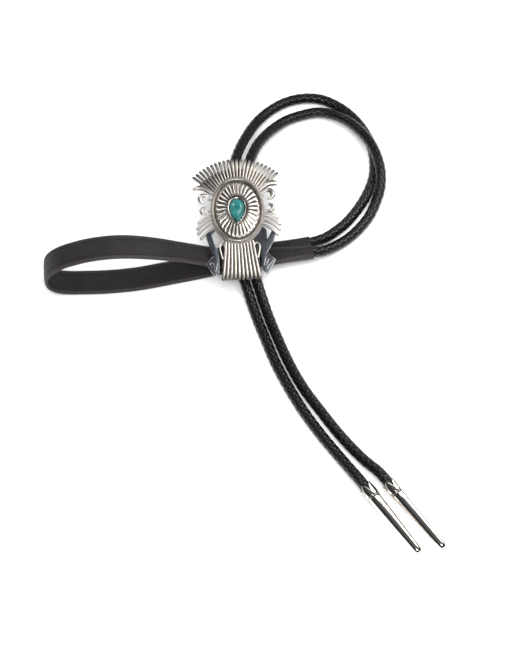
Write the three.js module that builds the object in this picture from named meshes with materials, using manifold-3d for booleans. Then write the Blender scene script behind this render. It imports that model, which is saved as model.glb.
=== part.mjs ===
// Bolo tie: a leather neck strap that becomes two braided cords, a silver slide ornament with a
// turquoise stone, and two silver tips. Millimetres, +Z up, lying on the plane z = 0.
// The origin is on that plane, below the middle of the strap and the ornament taken together.

import * as THREE from "three";
import { mergeVertices } from "three/addons/utils/BufferGeometryUtils.js";
import Module from "manifold-3d";

const manifoldLibrary = await Module();
manifoldLibrary.setup();

// ---- Driving dimensions -------------------------------------------------------------------

// Round braided cords
const CORD_RADIUS = 3.0;
const CORD_SIDES = 10;
const CORD_STEPS = 40;

// Neck strap
const STRAP_STATIONS = 66;
const STRAP_EDGE_STEPS = 5;

// Cord tips
const TIP_PETALS = 6;
const TIP_PETAL_DEPTH = 4.2;
const TIP_SEGMENTS = TIP_PETALS * 4;
const TIP_SOCKET_RADIUS = 3.35;
const TIP_SOCKET_DEPTH = 10;

// Ornament: x to its right, y towards its crest, z out of its face, zero on its back
const ORNAMENT_CENTRE = { x: 32.4, y: 5.2, z: 18.5 };
const ORNAMENT_TILT = 8;
const ORNAMENT_SPIN = 3.5;
const PLATE_THICKNESS = 1.2;

const CONCHO_HALF_WIDTH = 15.3;
const CONCHO_HALF_HEIGHT = 20.7;
const CONCHO_RISE = 1.0;
const CONCHO_FLUTES = 30;

const STONE_WIDTH = 8.6;
const STONE_HEIGHT = 13.6;
const STONE_DROP = 1.0;
const STONE_BASE = 5.4;
const STONE_EDGE = 7.2;
const STONE_TOP = 9.2;
const STONE_TAPER = 0.6;
const PEAR_POINTS = 28;
const BEZEL_GAP = 0.3;
const BEZEL_WALL = 0.9;
const BEZEL_BASE = 4.4;
const BEZEL_TOP = 7.4;

const CREST_FEATHERS = 22;
const CREST_HALF_ANGLE = 48;
const CREST_RADIUS = 33.2;
const CREST_FLARE = 0.6;
const CREST_PLATE_RADIUS = 26.8;

const TAIL_WIRES = 10;
const TAIL_TOP = -18.2;
const TAIL_BOTTOM = -40.4;
const TAIL_HALF_WIDTH_TOP = 7.5;
const TAIL_HALF_WIDTH_BOTTOM = 10.4;

// Cord slide on the back of the ornament
const SLIDE_LENGTH = 16;
const SLIDE_BORE_RADIUS = 3.4;
const SLIDE_BORE_OFFSET = 3.7;
const SLIDE_BORE_DEPTH = 4.6;
const SLIDE_WALL = 0.9;
const PIECE_GAP = 0.3;

// ---- Tables -------------------------------------------------------------------------------

// Middle line of the strap from one end, along the surface, round the fold and back on top.
// width and thick are the leather's size there, yaw the turn of its width, in degrees.
const STRAP_ROUTE = [
  { x: 73.4, y: -4.9, z: 3.3, width: 7.4, thick: 6.6, yaw: 11 },
  { x: 64.0, y: -6.8, z: 2.4, width: 8.8, thick: 4.8, yaw: 12 },
  { x: 54.5, y: -8.9, z: 1.7, width: 11.0, thick: 3.4, yaw: 13 },
  { x: 36.5, y: -13.0, z: 1.25, width: 13.6, thick: 2.5, yaw: 13 },
  { x: 19.0, y: -17.6, z: 1.2, width: 14.8, thick: 2.4, yaw: 13 },
  { x: -5.6, y: -23.3, z: 1.2, width: 14.8, thick: 2.4, yaw: 12 },
  { x: -25.0, y: -27.3, z: 1.2, width: 14.8, thick: 2.4, yaw: 8 },
  { x: -42.0, y: -29.1, z: 1.2, width: 14.8, thick: 2.4, yaw: 3 },
  { x: -54.0, y: -29.5, z: 1.2, width: 14.8, thick: 2.4, yaw: 1 },
  { x: -61.5, y: -29.6, z: 1.3, width: 14.8, thick: 2.4, yaw: 0 },
  { x: -68.2, y: -29.7, z: 3.0, width: 14.8, thick: 2.4, yaw: 1 },
  { x: -72.6, y: -29.6, z: 7.0, width: 14.8, thick: 2.4, yaw: 3 },
  { x: -73.9, y: -29.3, z: 12.0, width: 14.8, thick: 2.4, yaw: 5 },
  { x: -72.8, y: -29.0, z: 17.4, width: 14.8, thick: 2.4, yaw: 6 },
  { x: -69.6, y: -28.8, z: 22.6, width: 14.8, thick: 2.4, yaw: 6 },
  { x: -64.4, y: -28.6, z: 27.4, width: 14.8, thick: 2.4, yaw: 5 },
  { x: -56.5, y: -28.3, z: 31.8, width: 14.8, thick: 2.4, yaw: 4 },
  { x: -47.5, y: -28.1, z: 35.4, width: 14.8, thick: 2.4, yaw: 4 },
  { x: -37.0, y: -27.6, z: 37.2, width: 14.8, thick: 2.4, yaw: 5 },
  { x: -28.0, y: -26.8, z: 36.4, width: 14.8, thick: 2.4, yaw: 7 },
  { x: -18.0, y: -25.4, z: 33.0, width: 14.6, thick: 2.4, yaw: 9 },
  { x: -8.0, y: -23.7, z: 28.0, width: 14.0, thick: 2.4, yaw: 10 },
  { x: 2.0, y: -21.6, z: 21.6, width: 13.2, thick: 2.4, yaw: 11 },
  { x: 11.0, y: -19.5, z: 14.8, width: 13.2, thick: 2.4, yaw: 11 },
  { x: 20.0, y: -17.9, z: 9.0, width: 13.0, thick: 2.4, yaw: 9 },
  { x: 28.5, y: -16.8, z: 5.8, width: 12.6, thick: 2.4, yaw: 6 },
  { x: 38.0, y: -16.0, z: 4.4, width: 12.0, thick: 2.5, yaw: 4 },
  { x: 50.0, y: -15.2, z: 5.4, width: 10.7, thick: 3.2, yaw: 4 },
  { x: 62.0, y: -14.4, z: 6.4, width: 9.1, thick: 4.6, yaw: 5 },
  { x: 74.7, y: -13.0, z: 6.2, width: 7.4, thick: 6.6, yaw: 7 },
];

// Cord from the strap's lower end: along the surface, under the other cord, up into the
// ornament's slide and down to its tip.
const LEFT_CORD_ROUTE = [
  [74.3, -4.6, 3.3], [81.6, -1.7, 3.1], [87.5, 2.5, 3.1], [94, 8.5, 3.1], [101, 18, 3.1],
  [106.6, 28.5, 3.1], [110, 38.8, 3.1], [110.7, 49, 3.1], [109.4, 59.2, 3.1], [105.8, 68.8, 3.1],
  [99.6, 78.5, 3.1], [91.6, 86.2, 3.1], [81.2, 91.8, 3.1], [70.7, 92.8, 3.1], [60.1, 90, 3.1],
  [50.7, 83.8, 3.5], [42.6, 74.1, 5.4], [36.6, 61.4, 9.2], [32.4, 49, 12.8], [29, 33, 15.4],
  [28.2, 13.6, 15], [29.2, -2.2, 12.8], [30.6, -13, 11.2], [33.1, -22.5, 9.6], [36.2, -31.5, 7.3],
  [39.6, -42, 4.7], [42.7, -51.7, 3.3], [48.1, -66.7, 3.1], [53.7, -81.5, 3.1], [60.7, -96.2, 3.1],
  [68.8, -110.7, 3.1], [78.3, -125, 3.1], [89.2, -139.6, 3.3], [96.6, -149.7, 4.6],
  [101.0, -155.5, 4.4], [104.6, -160.3, 4.1],
];

// Cord from the strap's upper end, which passes over the other one in a long low hump.
const RIGHT_CORD_ROUTE = [
  [75.7, -12.7, 6.2], [80.0, -11.6, 5.4], [86.6, -7.9, 3.8], [93.5, -3, 3.1], [100.4, 3.6, 3.1],
  [107.1, 12.8, 3.2], [111, 21.5, 4.2], [113.5, 29.6, 6.4], [113.8, 38.8, 8.8], [112.2, 47.2, 9.9],
  [108.7, 56.9, 10.1], [103.7, 64.8, 9.5], [96.5, 73.5, 7.5], [88, 80, 4.9], [78.7, 82.8, 3.4],
  [69.4, 81, 3.1], [60, 76.7, 3.8], [51.3, 68.4, 6.2], [44.3, 57.5, 9.8], [40, 46, 13],
  [37, 32, 15.5], [35.6, 14.1, 15], [36.6, -1.7, 12.9], [37.8, -13, 11.2], [40.1, -22.5, 9.6],
  [43, -31.5, 7.3], [46.4, -42, 4.7], [49.6, -51.7, 3.3], [55.1, -66.7, 3.1], [61.1, -81.5, 3.1],
  [68.6, -96.2, 3.1], [78.2, -110.7, 3.1], [88.4, -125, 3.1], [100.0, -138.6, 3.3],
  [108.6, -147.2, 4.6], [113.4, -153.3, 4.4], [117.1, -158.1, 4.1],
];

// Where each tip's mouth and blunt end lie.
const LEFT_TIP = { mouth: [99.2, -153.1, 4.6], end: [128.8, -192.3, 2.3] };
const RIGHT_TIP = { mouth: [111.6, -151.0, 4.6], end: [141.7, -189.7, 2.3] };

// Tip outline from the socket's floor to the blunt end: radius, place along the axis, and how
// much of the petals' depth is taken off the mouth there.
const TIP_PROFILE = [
  { radius: TIP_SOCKET_RADIUS, along: TIP_SOCKET_DEPTH, petal: 0 },
  { radius: TIP_SOCKET_RADIUS, along: 7.6, petal: 0 },
  { radius: TIP_SOCKET_RADIUS + 0.1, along: 2.4, petal: 1 },
  { radius: 3.95, along: 2.4, petal: 1 },
  { radius: 3.75, along: 7.6, petal: 0 },
  { radius: 3.7, along: 8.2, petal: 0 },
  { radius: 3.95, along: 8.8, petal: 0 },
  { radius: 3.95, along: 9.8, petal: 0 },
  { radius: 3.5, along: 10.3, petal: 0 },
  { radius: 3.5, along: 11, petal: 0 },
  { radius: 3.9, along: 11.5, petal: 0 },
  { radius: 3.9, along: 12.5, petal: 0 },
  { radius: 3.55, along: 13, petal: 0 },
  { radius: 3.2, along: 24, petal: 0 },
  { radius: 2.3, along: 46.4, petal: 0 },
  { radius: 1.8, along: 48, petal: 0 },
  { radius: 0.9, along: 48.8, petal: 0 },
];
const TIP_LENGTH = 49;

// Half section of the oval concho on its short axis, from the rim inwards. ripple raises every
// second spoke, which makes the flutes.
const CONCHO_PROFILE = [
  { radius: 15.0, height: 0.7, ripple: 0 },
  { radius: 15.3, height: 1.4, ripple: 0 },
  { radius: 15.2, height: 2.3, ripple: 0 },
  { radius: 14.2, height: 2.9, ripple: 0 },
  { radius: 13.5, height: 3.6, ripple: 0 },
  { radius: 12.8, height: 3.3, ripple: 0 },
  { radius: 12.3, height: 2.8, ripple: 0 },
  { radius: 11.4, height: 3.2, ripple: 0.25 },
  { radius: 8.6, height: 4.5, ripple: 0.3 },
  { radius: 5.6, height: 5.2, ripple: 0.15 },
];

// Crescent scrolls beside the concho: middle of the arc, its radius, its first and last angle
// in degrees, and its width at the widest.
const SCROLLS = [
  { x: 17.7, y: 10.0, radius: 2.7, from: 150, to: -105, width: 2.2 },
  { x: 18.5, y: 1.9, radius: 2.0, from: 140, to: -140, width: 1.7 },
  { x: -18.8, y: 9.1, radius: 2.7, from: 25, to: 268, width: 2.2 },
  { x: -18.9, y: 1.9, radius: 1.9, from: 42, to: 318, width: 1.7 },
];

// Leaves and side feathers: where each one leaves the concho, its bend and its tip.
const SIDE_BLADES = [
  { root: [12.5, 13.2], bend: [19.5, 20.4], tip: [24.0, 16.0], width: 2.8 },
  { root: [-12.5, 12.6], bend: [-18.5, 17.4], tip: [-24.2, 16.0], width: 2.8 },
  { root: [13.0, -0.6], bend: [19.5, -1.6], tip: [23.0, -4.9], width: 1.5 },
  { root: [13.0, -3.0], bend: [20.0, -4.6], tip: [24.0, -9.0], width: 1.5 },
  { root: [12.6, -5.4], bend: [19.4, -7.0], tip: [23.6, -12.2], width: 1.5 },
  { root: [12.0, -7.6], bend: [18.2, -9.6], tip: [22.2, -15.2], width: 1.5 },
  { root: [-13.0, -0.6], bend: [-19.5, -1.6], tip: [-22.8, -4.4], width: 1.5 },
  { root: [-13.0, -3.0], bend: [-19.8, -4.6], tip: [-23.6, -8.6], width: 1.5 },
  { root: [-12.6, -5.4], bend: [-19.2, -7.2], tip: [-23.2, -12.2], width: 1.5 },
  { root: [-12.0, -7.6], bend: [-17.8, -9.8], tip: [-21.6, -15.2], width: 1.5 },
];

// Flat legs that end in a square plate turned on its corner. The left one is a single bar, the
// right one is forked below the concho.
const LEFT_LEG = [
  [-12.0, -8.5], [-18.2, -11.8], [-18.6, -13.4], [-16.0, -22.4], [-14.6, -25.4], [-16.0, -26.2],
  [-19.3, -29.8], [-14.7, -37.6], [-11.9, -35.4], [-11.7, -24.0], [-14.0, -17.6], [-15.0, -12.6],
];
const RIGHT_LEG = [
  [7.1, -17.5], [13.2, -9.0], [15.6, -11.0], [15.8, -16.4], [18.5, -11.8], [20.6, -13.6],
  [18.7, -19.2], [14.8, -25.4], [16.2, -25.6], [19.6, -29.4], [14.6, -37.4], [11.9, -34.6],
  [11.7, -24.0],
];

// ---- Helpers ------------------------------------------------------------------------------

const radians = THREE.MathUtils.degToRad;

/** The oval concho's radius along a ray from its middle, times a scale. */
function conchoRadius(angle, scale = 1) {
  const across = Math.cos(angle) / CONCHO_HALF_WIDTH;
  const up = Math.sin(angle) / CONCHO_HALF_HEIGHT;
  return scale / Math.hypot(across, up);
}

/** A closed solid from rings of equal length, with a fan on each end. */
function solidFromRings(rings, startCentre, endCentre) {
  const count = rings[0].length;
  const corners = [...rings.flat(), startCentre, endCentre];
  const start = corners.length - 2;
  const end = corners.length - 1;
  const faces = [];
  for (let ring = 0; ring < rings.length - 1; ring += 1) {
    for (let side = 0; side < count; side += 1) {
      const next = (side + 1) % count;
      const a = ring * count + side;
      const b = ring * count + next;
      faces.push(a, b, b + count, a, b + count, a + count);
    }
  }
  const last = (rings.length - 1) * count;
  for (let side = 0; side < count; side += 1) {
    const next = (side + 1) % count;
    faces.push(start, next, side);
    faces.push(end, last + side, last + next);
  }
  const geometry = new THREE.BufferGeometry();
  geometry.setFromPoints(corners);
  geometry.setIndex(faces);
  return geometry;
}

/** The middle of a ring of points. */
function middleOf(ring) {
  const sum = ring.reduce((total, point) => total.add(point), new THREE.Vector3());
  return sum.divideScalar(ring.length);
}

/** A closed solid of round or wavy rings about the Z axis. */
function turnedSolid(rows, segments, place, startCentre, endCentre) {
  const rings = rows.map((row) => {
    const ring = [];
    for (let i = 0; i < segments; i += 1) {
      ring.push(place(row, i, (i / segments) * Math.PI * 2));
    }
    return ring;
  });
  return solidFromRings(rings, startCentre, endCentre);
}

/** A tapering bar along a curve, six sided, flat towards the back. */
function bar(curve, stations) {
  const rings = stations.map(({ at, width, thick }) => {
    const middle = curve.getPoint(at);
    const ahead = curve.getTangent(at);
    const side = new THREE.Vector3(ahead.y, -ahead.x, 0).normalize();
    const out = new THREE.Vector3().crossVectors(side, ahead);
    const section = [
      [-0.5, -0.5], [-0.5, 0], [-0.25, 0.5], [0.25, 0.5], [0.5, 0], [0.5, -0.5],
    ];
    return section.map(([across, up]) =>
      middle.clone().addScaledVector(side, across * width).addScaledVector(out, up * thick));
  });
  return solidFromRings(rings, middleOf(rings[0]), middleOf(rings.at(-1)));
}

/** A flat plate of the ornament from an outline, with its back at the given height. */
function plate(shape, back = 0, thick = PLATE_THICKNESS) {
  const geometry = new THREE.ExtrudeGeometry(shape, {
    depth: thick, bevelEnabled: false, curveSegments: 12,
  });
  return geometry.translate(0, 0, back);
}

/** One manifold solid from a closed geometry. */
function toManifold(geometry) {
  const bare = geometry.clone();
  bare.deleteAttribute("normal");
  bare.deleteAttribute("uv");
  const merged = mergeVertices(bare, 1e-4);
  const mesh = new manifoldLibrary.Mesh({
    numProp: 3,
    vertProperties: new Float32Array(merged.attributes.position.array),
    triVerts: new Uint32Array(merged.index.array),
  });
  return new manifoldLibrary.Manifold(mesh);
}

/** The join of several closed geometries, as one geometry. */
function unite(geometries) {
  const joined = geometries.map(toManifold).reduce((total, solid) => total.add(solid));
  const mesh = joined.getMesh();
  const geometry = new THREE.BufferGeometry();
  geometry.setAttribute("position", new THREE.BufferAttribute(mesh.vertProperties, 3));
  geometry.setIndex(new THREE.BufferAttribute(mesh.triVerts, 1));
  return geometry;
}

/** A pear outline with its point down, grown by a margin on every side. */
function pearOutline(margin) {
  const width = STONE_WIDTH + 2 * margin;
  const height = STONE_HEIGHT + 2.6 * margin;
  const widest = (STONE_TAPER + 1) / (STONE_TAPER + 2);
  const peak = 2 * widest ** ((STONE_TAPER + 1) / 2) * Math.sqrt(1 - widest);
  const points = [];
  for (let i = 0; i < PEAR_POINTS; i += 1) {
    const turn = ((i + 0.5) / PEAR_POINTS) * Math.PI * 2;
    const bulge = Math.sin(turn) * Math.abs(Math.sin(turn / 2)) ** STONE_TAPER;
    points.push(new THREE.Vector2(
      (bulge / peak) * (width / 2),
      -Math.cos(turn) * (height / 2) - STONE_DROP,
    ));
  }
  return points;
}

/** A named mesh with its own material. */
function piece(name, geometry, color, roughness, metalness) {
  const material = new THREE.MeshStandardMaterial({ color, roughness, metalness });
  const mesh = new THREE.Mesh(geometry, material);
  mesh.name = name;
  return mesh;
}

// ---- Neck strap ---------------------------------------------------------------------------

/** The strap: a rounded band swept along its route, thicker where it closes round the cords. */
function neckStrap() {
  const middle = new THREE.CatmullRomCurve3(
    STRAP_ROUTE.map((row) => new THREE.Vector3(row.x, row.y, row.z)));
  const size = new THREE.CatmullRomCurve3(
    STRAP_ROUTE.map((row) => new THREE.Vector3(row.width, row.thick, row.yaw)),
    false, "catmullrom", 0.5);
  const rings = [];
  for (let station = 0; station <= STRAP_STATIONS; station += 1) {
    const at = station / STRAP_STATIONS;
    const point = middle.getPoint(at);
    const { x: width, y: thick, z: yaw } = size.getPoint(at);
    const across = new THREE.Vector3(-Math.sin(radians(yaw)), Math.cos(radians(yaw)), 0);
    const up = new THREE.Vector3().crossVectors(middle.getTangent(at), across).normalize();
    const ring = [];
    for (const half of [0, 1]) {
      for (let step = 0; step <= STRAP_EDGE_STEPS; step += 1) {
        const turn = Math.PI * (half - 0.5 + step / STRAP_EDGE_STEPS);
        const edge = (half === 0 ? 1 : -1) * (width - thick) / 2;
        ring.push(point.clone()
          .addScaledVector(across, edge + Math.cos(turn) * thick / 2)
          .addScaledVector(up, Math.sin(turn) * thick / 2));
      }
    }
    rings.push(ring);
  }
  const geometry = solidFromRings(rings, middleOf(rings[0]), middleOf(rings.at(-1)));
  return piece("neck_strap", geometry, 0x342d30, 0.6, 0);
}

// ---- Cords and tips -----------------------------------------------------------------------

/** A round cord along its route. */
function cord(name, route) {
  const path = new THREE.CatmullRomCurve3(route.map((point) => new THREE.Vector3(...point)));
  const section = new THREE.Shape();
  for (let side = 0; side < CORD_SIDES; side += 1) {
    const turn = (side / CORD_SIDES) * Math.PI * 2;
    const move = side === 0 ? "moveTo" : "lineTo";
    section[move](Math.cos(turn) * CORD_RADIUS, Math.sin(turn) * CORD_RADIUS);
  }
  const geometry = new THREE.ExtrudeGeometry(section, {
    steps: CORD_STEPS, extrudePath: path, bevelEnabled: false,
  });
  return piece(name, geometry, 0x1e1e20, 0.45, 0);
}

/** A silver tip with a petalled mouth that the cord's end sits in. */
function tip(name, { mouth, end }) {
  const place = (row, index, turn) => {
    const saw = Math.abs(((index * TIP_PETALS) / TIP_SEGMENTS) % 1 - 0.5) * 2;
    return new THREE.Vector3(
      Math.cos(turn) * row.radius,
      Math.sin(turn) * row.radius,
      row.along + row.petal * (1 - saw) * TIP_PETAL_DEPTH,
    );
  };
  const geometry = turnedSolid(
    TIP_PROFILE, TIP_SEGMENTS, place,
    new THREE.Vector3(0, 0, TIP_SOCKET_DEPTH), new THREE.Vector3(0, 0, TIP_LENGTH));
  const mesh = piece(name, geometry, 0xc9c4be, 0.25, 1);
  const ahead = new THREE.Vector3(...end).sub(new THREE.Vector3(...mouth)).normalize();
  mesh.position.set(...mouth);
  mesh.quaternion.setFromUnitVectors(new THREE.Vector3(0, 0, 1), ahead);
  return mesh;
}

// ---- Ornament -----------------------------------------------------------------------------

/** The oval concho: rim, ridge and a fluted dome. */
function concho() {
  const stretch = CONCHO_HALF_HEIGHT / CONCHO_HALF_WIDTH;
  const place = (row, index, turn) => new THREE.Vector3(
    Math.cos(turn) * row.radius,
    Math.sin(turn) * row.radius * stretch + CONCHO_RISE,
    row.height + (index % 2 === 0 ? row.ripple : -row.ripple),
  );
  return turnedSolid(
    CONCHO_PROFILE, CONCHO_FLUTES * 2, place,
    new THREE.Vector3(0, CONCHO_RISE, CONCHO_PROFILE[0].height),
    new THREE.Vector3(0, CONCHO_RISE, 5.2));
}

/** The polished wall round the stone. */
function bezel() {
  const shape = new THREE.Shape(pearOutline(BEZEL_GAP + BEZEL_WALL));
  shape.holes.push(new THREE.Path(pearOutline(BEZEL_GAP)));
  return plate(shape, BEZEL_BASE, BEZEL_TOP - BEZEL_BASE);
}

/** The floor under the stone, which closes the concho inside the wall. */
function seat() {
  return plate(new THREE.Shape(pearOutline(BEZEL_GAP + BEZEL_WALL / 2)), 1, STONE_BASE - 1.3);
}

/** The oval plate behind the concho. */
function backPlate() {
  const oval = new THREE.Shape();
  oval.absellipse(
    0, CONCHO_RISE, CONCHO_HALF_WIDTH * 0.94, CONCHO_HALF_HEIGHT * 0.94, 0, Math.PI * 2);
  return plate(oval);
}

/** The crest: a fan of feathers on a plate that reaches halfway up them. */
function crest() {
  const fan = new THREE.Shape();
  const outline = [];
  const steps = 16;
  const half = CREST_HALF_ANGLE + 1;
  for (let i = 0; i <= steps; i += 1) {
    const angle = radians(90 + half - (2 * half * i) / steps);
    outline.push([angle, CREST_PLATE_RADIUS]);
  }
  for (let i = steps; i >= 0; i -= 1) {
    const angle = radians(90 + half - (2 * half * i) / steps);
    outline.push([angle, conchoRadius(angle, 0.8)]);
  }
  fan.setFromPoints(outline.map(([angle, radius]) =>
    new THREE.Vector2(Math.cos(angle) * radius, Math.sin(angle) * radius)));
  const solids = [plate(fan, 0.1, 1.0)];
  for (let i = 0; i < CREST_FEATHERS; i += 1) {
    const side = (i + 0.5) / CREST_FEATHERS * 2 - 1;
    const angle = radians(90 - side * CREST_HALF_ANGLE);
    const tipRadius = CREST_RADIUS + CREST_FLARE * side * side;
    const spoke = (radius, height) =>
      new THREE.Vector3(Math.cos(angle) * radius, Math.sin(angle) * radius, height);
    const curve = new THREE.QuadraticBezierCurve3(
      spoke(conchoRadius(angle, 0.9), 1.5), spoke(CREST_PLATE_RADIUS, 1.9), spoke(tipRadius, 0.5));
    solids.push(bar(curve, [
      { at: 0, width: 1.0, thick: 1.3 },
      { at: 0.5, width: 1.5, thick: 1.3 },
      { at: 0.85, width: 1.6, thick: 1.0 },
      { at: 1, width: 0.8, thick: 0.6 },
    ]));
  }
  return solids;
}

/** The skirt of half-round wires below the concho, with a hairpin at each upper corner. */
function tail() {
  const corners = [
    [-TAIL_HALF_WIDTH_TOP, TAIL_TOP + 4], [TAIL_HALF_WIDTH_TOP, TAIL_TOP + 4],
    [TAIL_HALF_WIDTH_BOTTOM - 0.6, TAIL_BOTTOM + 5], [0.6 - TAIL_HALF_WIDTH_BOTTOM, TAIL_BOTTOM + 5],
  ];
  const apron = new THREE.Shape(corners.map(([x, y]) => new THREE.Vector2(x, y)));
  const solids = [plate(apron, 0.1, 1.0)];
  for (let i = 0; i < TAIL_WIRES; i += 1) {
    const side = i / (TAIL_WIRES - 1) * 2 - 1;
    const top = side * TAIL_HALF_WIDTH_TOP;
    const bottom = side * TAIL_HALF_WIDTH_BOTTOM;
    const curve = new THREE.QuadraticBezierCurve3(
      new THREE.Vector3(top, TAIL_TOP, 1.5),
      new THREE.Vector3((top + bottom) / 2, (TAIL_TOP + TAIL_BOTTOM) / 2 - 4, 2.2),
      new THREE.Vector3(bottom, TAIL_BOTTOM, 0.8));
    solids.push(bar(curve, [
      { at: 0, width: 1.2, thick: 1.3 },
      { at: 0.5, width: 1.6, thick: 1.4 },
      { at: 0.93, width: 1.8, thick: 1.1 },
      { at: 1, width: 1.2, thick: 0.8 },
    ]));
  }
  for (const side of [-1, 1]) {
    const loop = new THREE.CatmullRomCurve3([
      new THREE.Vector3(side * 7.6, -19.0, 1.3), new THREE.Vector3(side * 9.6, -17.9, 1.3),
      new THREE.Vector3(side * 11.2, -19.6, 1.3), new THREE.Vector3(side * 10.6, -23.6, 1.3),
      new THREE.Vector3(side * 9.3, -28.0, 1.3),
    ]);
    solids.push(bar(loop, [0, 0.2, 0.35, 0.5, 0.75, 1].map((at) => ({ at, width: 1.2, thick: 1.2 }))));
  }
  return solids;
}

/** The crescents, leaves and feathers at the sides of the concho. */
function sideWork() {
  const solids = [];
  for (const { x, y, radius, from, to, width } of SCROLLS) {
    const arc = [];
    for (let i = 0; i <= 8; i += 1) {
      const turn = radians(from + (to - from) * i / 8);
      arc.push(new THREE.Vector3(x + Math.cos(turn) * radius, y + Math.sin(turn) * radius, 1.3));
    }
    const curve = new THREE.CatmullRomCurve3(arc);
    solids.push(bar(curve, [0, 0.15, 0.35, 0.5, 0.65, 0.85, 1].map((at) => (
      { at, width: 0.5 + (width - 0.5) * Math.sin(Math.PI * at), thick: 1.6 }))));
    const strut = new THREE.Shape([
      [x, y - radius - 0.6], [x, y + radius + 0.6],
      [x - Math.sign(x) * 7, y + radius], [x - Math.sign(x) * 7, y - radius],
    ].map(([px, py]) => new THREE.Vector2(px, py)));
    solids.push(plate(strut, 0.1, 0.9));
  }
  for (const { root, bend, tip: point, width } of SIDE_BLADES) {
    const curve = new THREE.QuadraticBezierCurve3(
      new THREE.Vector3(...root, 1.2), new THREE.Vector3(...bend, 1.7), new THREE.Vector3(...point, 0.6));
    solids.push(bar(curve, [
      { at: 0, width: width * 0.8, thick: 1.3 },
      { at: 0.35, width, thick: 1.3 },
      { at: 0.75, width, thick: 1.1 },
      { at: 1, width: 0.6, thick: 0.6 },
    ]));
  }
  return solids;
}

/** The two flat legs with their square feet. */
function legs() {
  return [LEFT_LEG, RIGHT_LEG].map((corners) =>
    plate(new THREE.Shape(corners.map(([x, y]) => new THREE.Vector2(x, y)))));
}

/** All the soldered silver as one solid. */
function ornament() {
  const solids = [
    backPlate(), concho(), seat(), ...crest(), ...tail(), ...sideWork(), ...legs(),
  ];
  const well = plate(new THREE.Shape(pearOutline(BEZEL_GAP)), STONE_BASE - PIECE_GAP, 10);
  const joined = toManifold(unite([...solids, bezel()])).subtract(toManifold(well));
  const mesh = joined.getMesh();
  const geometry = new THREE.BufferGeometry();
  geometry.setAttribute("position", new THREE.BufferAttribute(mesh.vertProperties, 3));
  geometry.setIndex(new THREE.BufferAttribute(mesh.triVerts, 1));
  return piece("ornament", geometry, 0xb9b2ac, 0.35, 1);
}

/** The pear-shaped cabochon in its well. */
function stone() {
  const rows = [
    { scale: 0.97, height: STONE_BASE },
    { scale: 1, height: STONE_EDGE },
    { scale: 0.86, height: STONE_EDGE + (STONE_TOP - STONE_EDGE) * 0.55 },
    { scale: 0.6, height: STONE_EDGE + (STONE_TOP - STONE_EDGE) * 0.86 },
    { scale: 0.3, height: STONE_TOP - 0.07 },
  ];
  const outline = pearOutline(0);
  const rings = rows.map(({ scale, height }) => outline.map((point) =>
    new THREE.Vector3(point.x * scale, (point.y + STONE_DROP) * scale - STONE_DROP, height)));
  const base = new THREE.Vector3(0, -STONE_DROP, STONE_BASE);
  const top = new THREE.Vector3(0, -STONE_DROP, STONE_TOP);
  return piece("stone", solidFromRings(rings, base, top), 0x4fb3ae, 0.3, 0);
}

/** The block behind the ornament with a channel for each cord. */
function cordSlide() {
  const height = 2 * (SLIDE_BORE_RADIUS + SLIDE_WALL);
  const halfStraight = SLIDE_BORE_OFFSET;
  const radius = height / 2;
  const shape = new THREE.Shape();
  shape.absarc(halfStraight, 0, radius, -Math.PI / 2, Math.PI / 2);
  shape.absarc(-halfStraight, 0, radius, Math.PI / 2, Math.PI * 1.5);
  for (const side of [-1, 1]) {
    const bore = new THREE.Path();
    bore.absarc(side * SLIDE_BORE_OFFSET, 0, SLIDE_BORE_RADIUS, 0, Math.PI * 2, true);
    shape.holes.push(bore);
  }
  const geometry = new THREE.ExtrudeGeometry(shape, {
    depth: SLIDE_LENGTH, bevelEnabled: false, curveSegments: 24,
  });
  geometry.translate(0, 0, -SLIDE_LENGTH / 2);
  geometry.rotateX(Math.PI / 2);
  geometry.translate(0, 0, -SLIDE_BORE_DEPTH);
  return piece("cord_slide", geometry, 0x8c8782, 0.4, 1);
}

/** The slide ornament with its stone and cord slide, leaning back on the strap and cords. */
function slideOrnament() {
  const assembly = new THREE.Group();
  assembly.add(ornament(), stone(), cordSlide());
  assembly.position.set(ORNAMENT_CENTRE.x, ORNAMENT_CENTRE.y, ORNAMENT_CENTRE.z);
  assembly.rotation.set(radians(ORNAMENT_TILT), 0, radians(ORNAMENT_SPIN));
  return assembly;
}

// ---- Assembly -----------------------------------------------------------------------------

const boloTie = new THREE.Group();
boloTie.add(
  neckStrap(),
  cord("cord_left", LEFT_CORD_ROUTE),
  cord("cord_right", RIGHT_CORD_ROUTE),
  tip("tip_left", LEFT_TIP),
  tip("tip_right", RIGHT_TIP),
  slideOrnament(),
);

export default boloTie;
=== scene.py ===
"""Bolo tie: a stitched leather neck strap that becomes two braided cords, a silver slide
ornament with a turquoise cabochon, and two silver tips. Metres, +Z up."""

import math

import bmesh
import bpy
from mathutils import Matrix, Vector


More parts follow.
